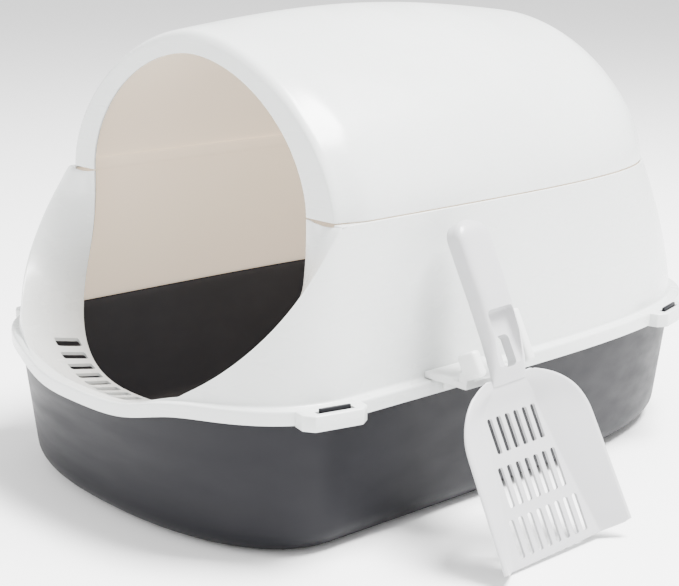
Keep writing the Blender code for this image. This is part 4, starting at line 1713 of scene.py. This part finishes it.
@dataclass
class ScoopHolder:
    """Bracket on the flange with a lug to each side of the scoop's neck."""

    box: BoxPlan
    scoop: Scoop
    lugs: tuple[tuple[int, float], ...] = ((-1, 0.0200), (1, 0.0410))
    lug_place: float = 0.0265
    lug_width: float = 0.0090
    lug_forward: float = -0.0050
    lug_start: float = -0.0060
    lug_thick: float = 0.0180
    lug_round: float = 0.0028
    rest_gap: float = 0.0005
    wall_gap: float = 0.0004
    plate_end: float = 0.2305
    plate_thick: float = 0.0050
    plate_round: float = 0.0010
    foot_size: tuple[float, float] = (0.0080, 0.0130)
    foot_inset: float = 0.0006
    foot_round: float = 0.0012
    window: tuple[float, float] = (0.0300, 0.0200)
    window_place: tuple[float, float] = (0.0020, 0.0150)
    hook_size: tuple[float, float, float] = (0.0030, 0.0400, 0.0130)
    hook_place: tuple[float, float] = (0.0021, 0.0030)
    hook_round: float = 0.0009

    def build(self, finishes: Finishes) -> None:
        """Builds, dresses and hands over the bracket.

        Args:
            finishes: the materials.
        """
        upright = Vector((0, 0, 1))
        sideways = Vector((1, 0, 0))
        neck_y = self.scoop.neck[1]
        bottom = self.box.flange_top + self.rest_gap
        wall_x = self.box.width / 2 - self.box.flange_width + self.wall_gap
        half = self.lug_place + self.lug_width / 2
        middle = (wall_x + self.plate_end) / 2
        plate = block("holder_bracket", Vector((middle, neck_y, bottom + self.plate_thick / 2)),
                      (self.plate_end - wall_x, 2 * half, self.plate_thick), sideways, upright,
                      self.plate_round)
        down, _, face = self.scoop.axes()
        for side, length in self.lugs:
            centre = self.scoop.spot(self.lug_start - length / 2, side * self.lug_place, self.lug_forward)
            lug = block(f"lug_{side + 1}", centre, (length, self.lug_width, self.lug_thick), down, face,
                        self.lug_round)
            cut(plate, lug, "UNION")
        reach, height = self.foot_size
        foot = block("foot", Vector((self.plate_end - reach / 2, neck_y, bottom + height / 2)),
                     (reach, 2 * half - self.foot_inset, height), sideways, upright, self.foot_round)
        cut(plate, foot, "UNION")
        inward, rise = self.window_place
        gap = block("gap", Vector((self.plate_end - inward, neck_y, bottom + rise)),
                    (self.window[0], 2 * self.lug_place - self.lug_width, self.window[1]), sideways, upright)
        cut(plate, gap)
        outward, fall = self.hook_place
        hook = block("hook", Vector((self.box.width / 2 + outward, neck_y, bottom - fall)),
                     self.hook_size, sideways, upright, self.hook_round)
        cut(plate, hook, "UNION")
        hand_over(dress(plate, finishes.bracket), Body.HOOD, SlotName.WHITE, "scoop_holder")


# ------------------------------------------------------------------------------ stage
@dataclass(frozen=True)
class Studio:
    """Camera, soft lights and a plain pale floor."""

    eye: tuple[float, float, float] = (0.98245, -0.90443, 0.46541)
    target: tuple[float, float, float] = (0.11264, -0.13302, 0.17321)
    lens: float = 83.26
    sensor: float = 36.0
    floor_half: float = 30.0
    floor_gap: float = 0.0004
    sky: float = 1.45
    lit: tuple[float, float, float] = (0.0, 0.0, 0.18)
    key_place: tuple[float, float, float] = (0.75, 0.55, 2.5)
    key_size: float = 1.1
    key_power: float = 380.0
    fill_place: tuple[float, float, float] = (-1.6, -2.2, 1.3)
    fill_size: float = 1.8
    fill_power: float = 62.0

    def camera(self) -> None:
        """Places the camera."""
        data = bpy.data.cameras.new("camera")
        data.lens = self.lens
        data.sensor_width = self.sensor
        data.sensor_fit = "HORIZONTAL"
        data.clip_end = 200.0
        thing = bpy.data.objects.new("camera", data)
        bpy.context.scene.collection.objects.link(thing)
        thing.location = self.eye
        look = Vector(self.target) - Vector(self.eye)
        thing.rotation_euler = look.to_track_quat("-Z", "Y").to_euler()
        bpy.context.scene.camera = thing

    def lamp(self, name: str, place: tuple[float, float, float], size: float, power: float) -> None:
        """Adds a square soft light that faces the box.

        Args:
            name: the light's name.
            place: where it stands.
            size: its width.
            power: its power in watts.
        """
        data = bpy.data.lights.new(name, "AREA")
        data.shape = "SQUARE"
        data.size = size
        data.energy = power
        thing = bpy.data.objects.new(name, data)
        bpy.context.scene.collection.objects.link(thing)
        thing.location = place
        thing.rotation_euler = (Vector(self.lit) - Vector(place)).to_track_quat("-Z", "Y").to_euler()

    def build(self) -> None:
        """Adds the floor, the sky and the lights."""
        half = self.floor_half
        corners = [(-half, -half, 0), (half, -half, 0), (half, half, 0), (-half, half, 0)]
        floor = mesh_object("floor", corners, [(0, 1, 2, 3)])
        floor.location.z = -self.floor_gap
        floor.data.materials.append(PlainFloor().build())
        world = bpy.data.worlds.new("soft_sky")
        world.use_nodes = True
        background = world.node_tree.nodes["Background"]
        background.inputs["Color"].default_value = (1.0, 1.0, 1.0, 1.0)
        background.inputs["Strength"].default_value = self.sky
        bpy.context.scene.world = world
        self.lamp("key_light", self.key_place, self.key_size, self.key_power)
        self.lamp("fill_light", self.fill_place, self.fill_size, self.fill_power)


def hand_over(piece: bpy.types.Object, body: Body, slot: SlotName, *nodes: str) -> None:
    """Makes a finished piece ride on its body and stand for its CAD nodes.

    Args:
        piece: the finished piece.
        body: the body it moves with.
        slot: the record's slot its finish belongs to; not used.
        nodes: the CAD nodes it stands for.
    """
    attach(piece, body.value)
    if nodes:
        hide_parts(*nodes)
    LOG.info("%s: %d faces, rides on %s", piece.name, len(piece.data.polygons), body.value)


def main() -> None:
    """Builds the whole scene round the frame."""
    logging.basicConfig(level=logging.INFO, format="%(name)s %(message)s")
    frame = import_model()
    studio = Studio()
    studio.camera()
    studio.build()
    finishes = Finishes.build()
    box = BoxPlan()
    hood = EntryHood(box)
    LitterPan(box).build(finishes, hood.ears())
    dome = Dome(box)
    hood.build(finishes, dome)
    dome.build(finishes)
    scoop = Scoop()
    scoop.build(finishes)
    ScoopHolder(box, scoop).build(finishes)


if __name__ == "__main__":
    main()
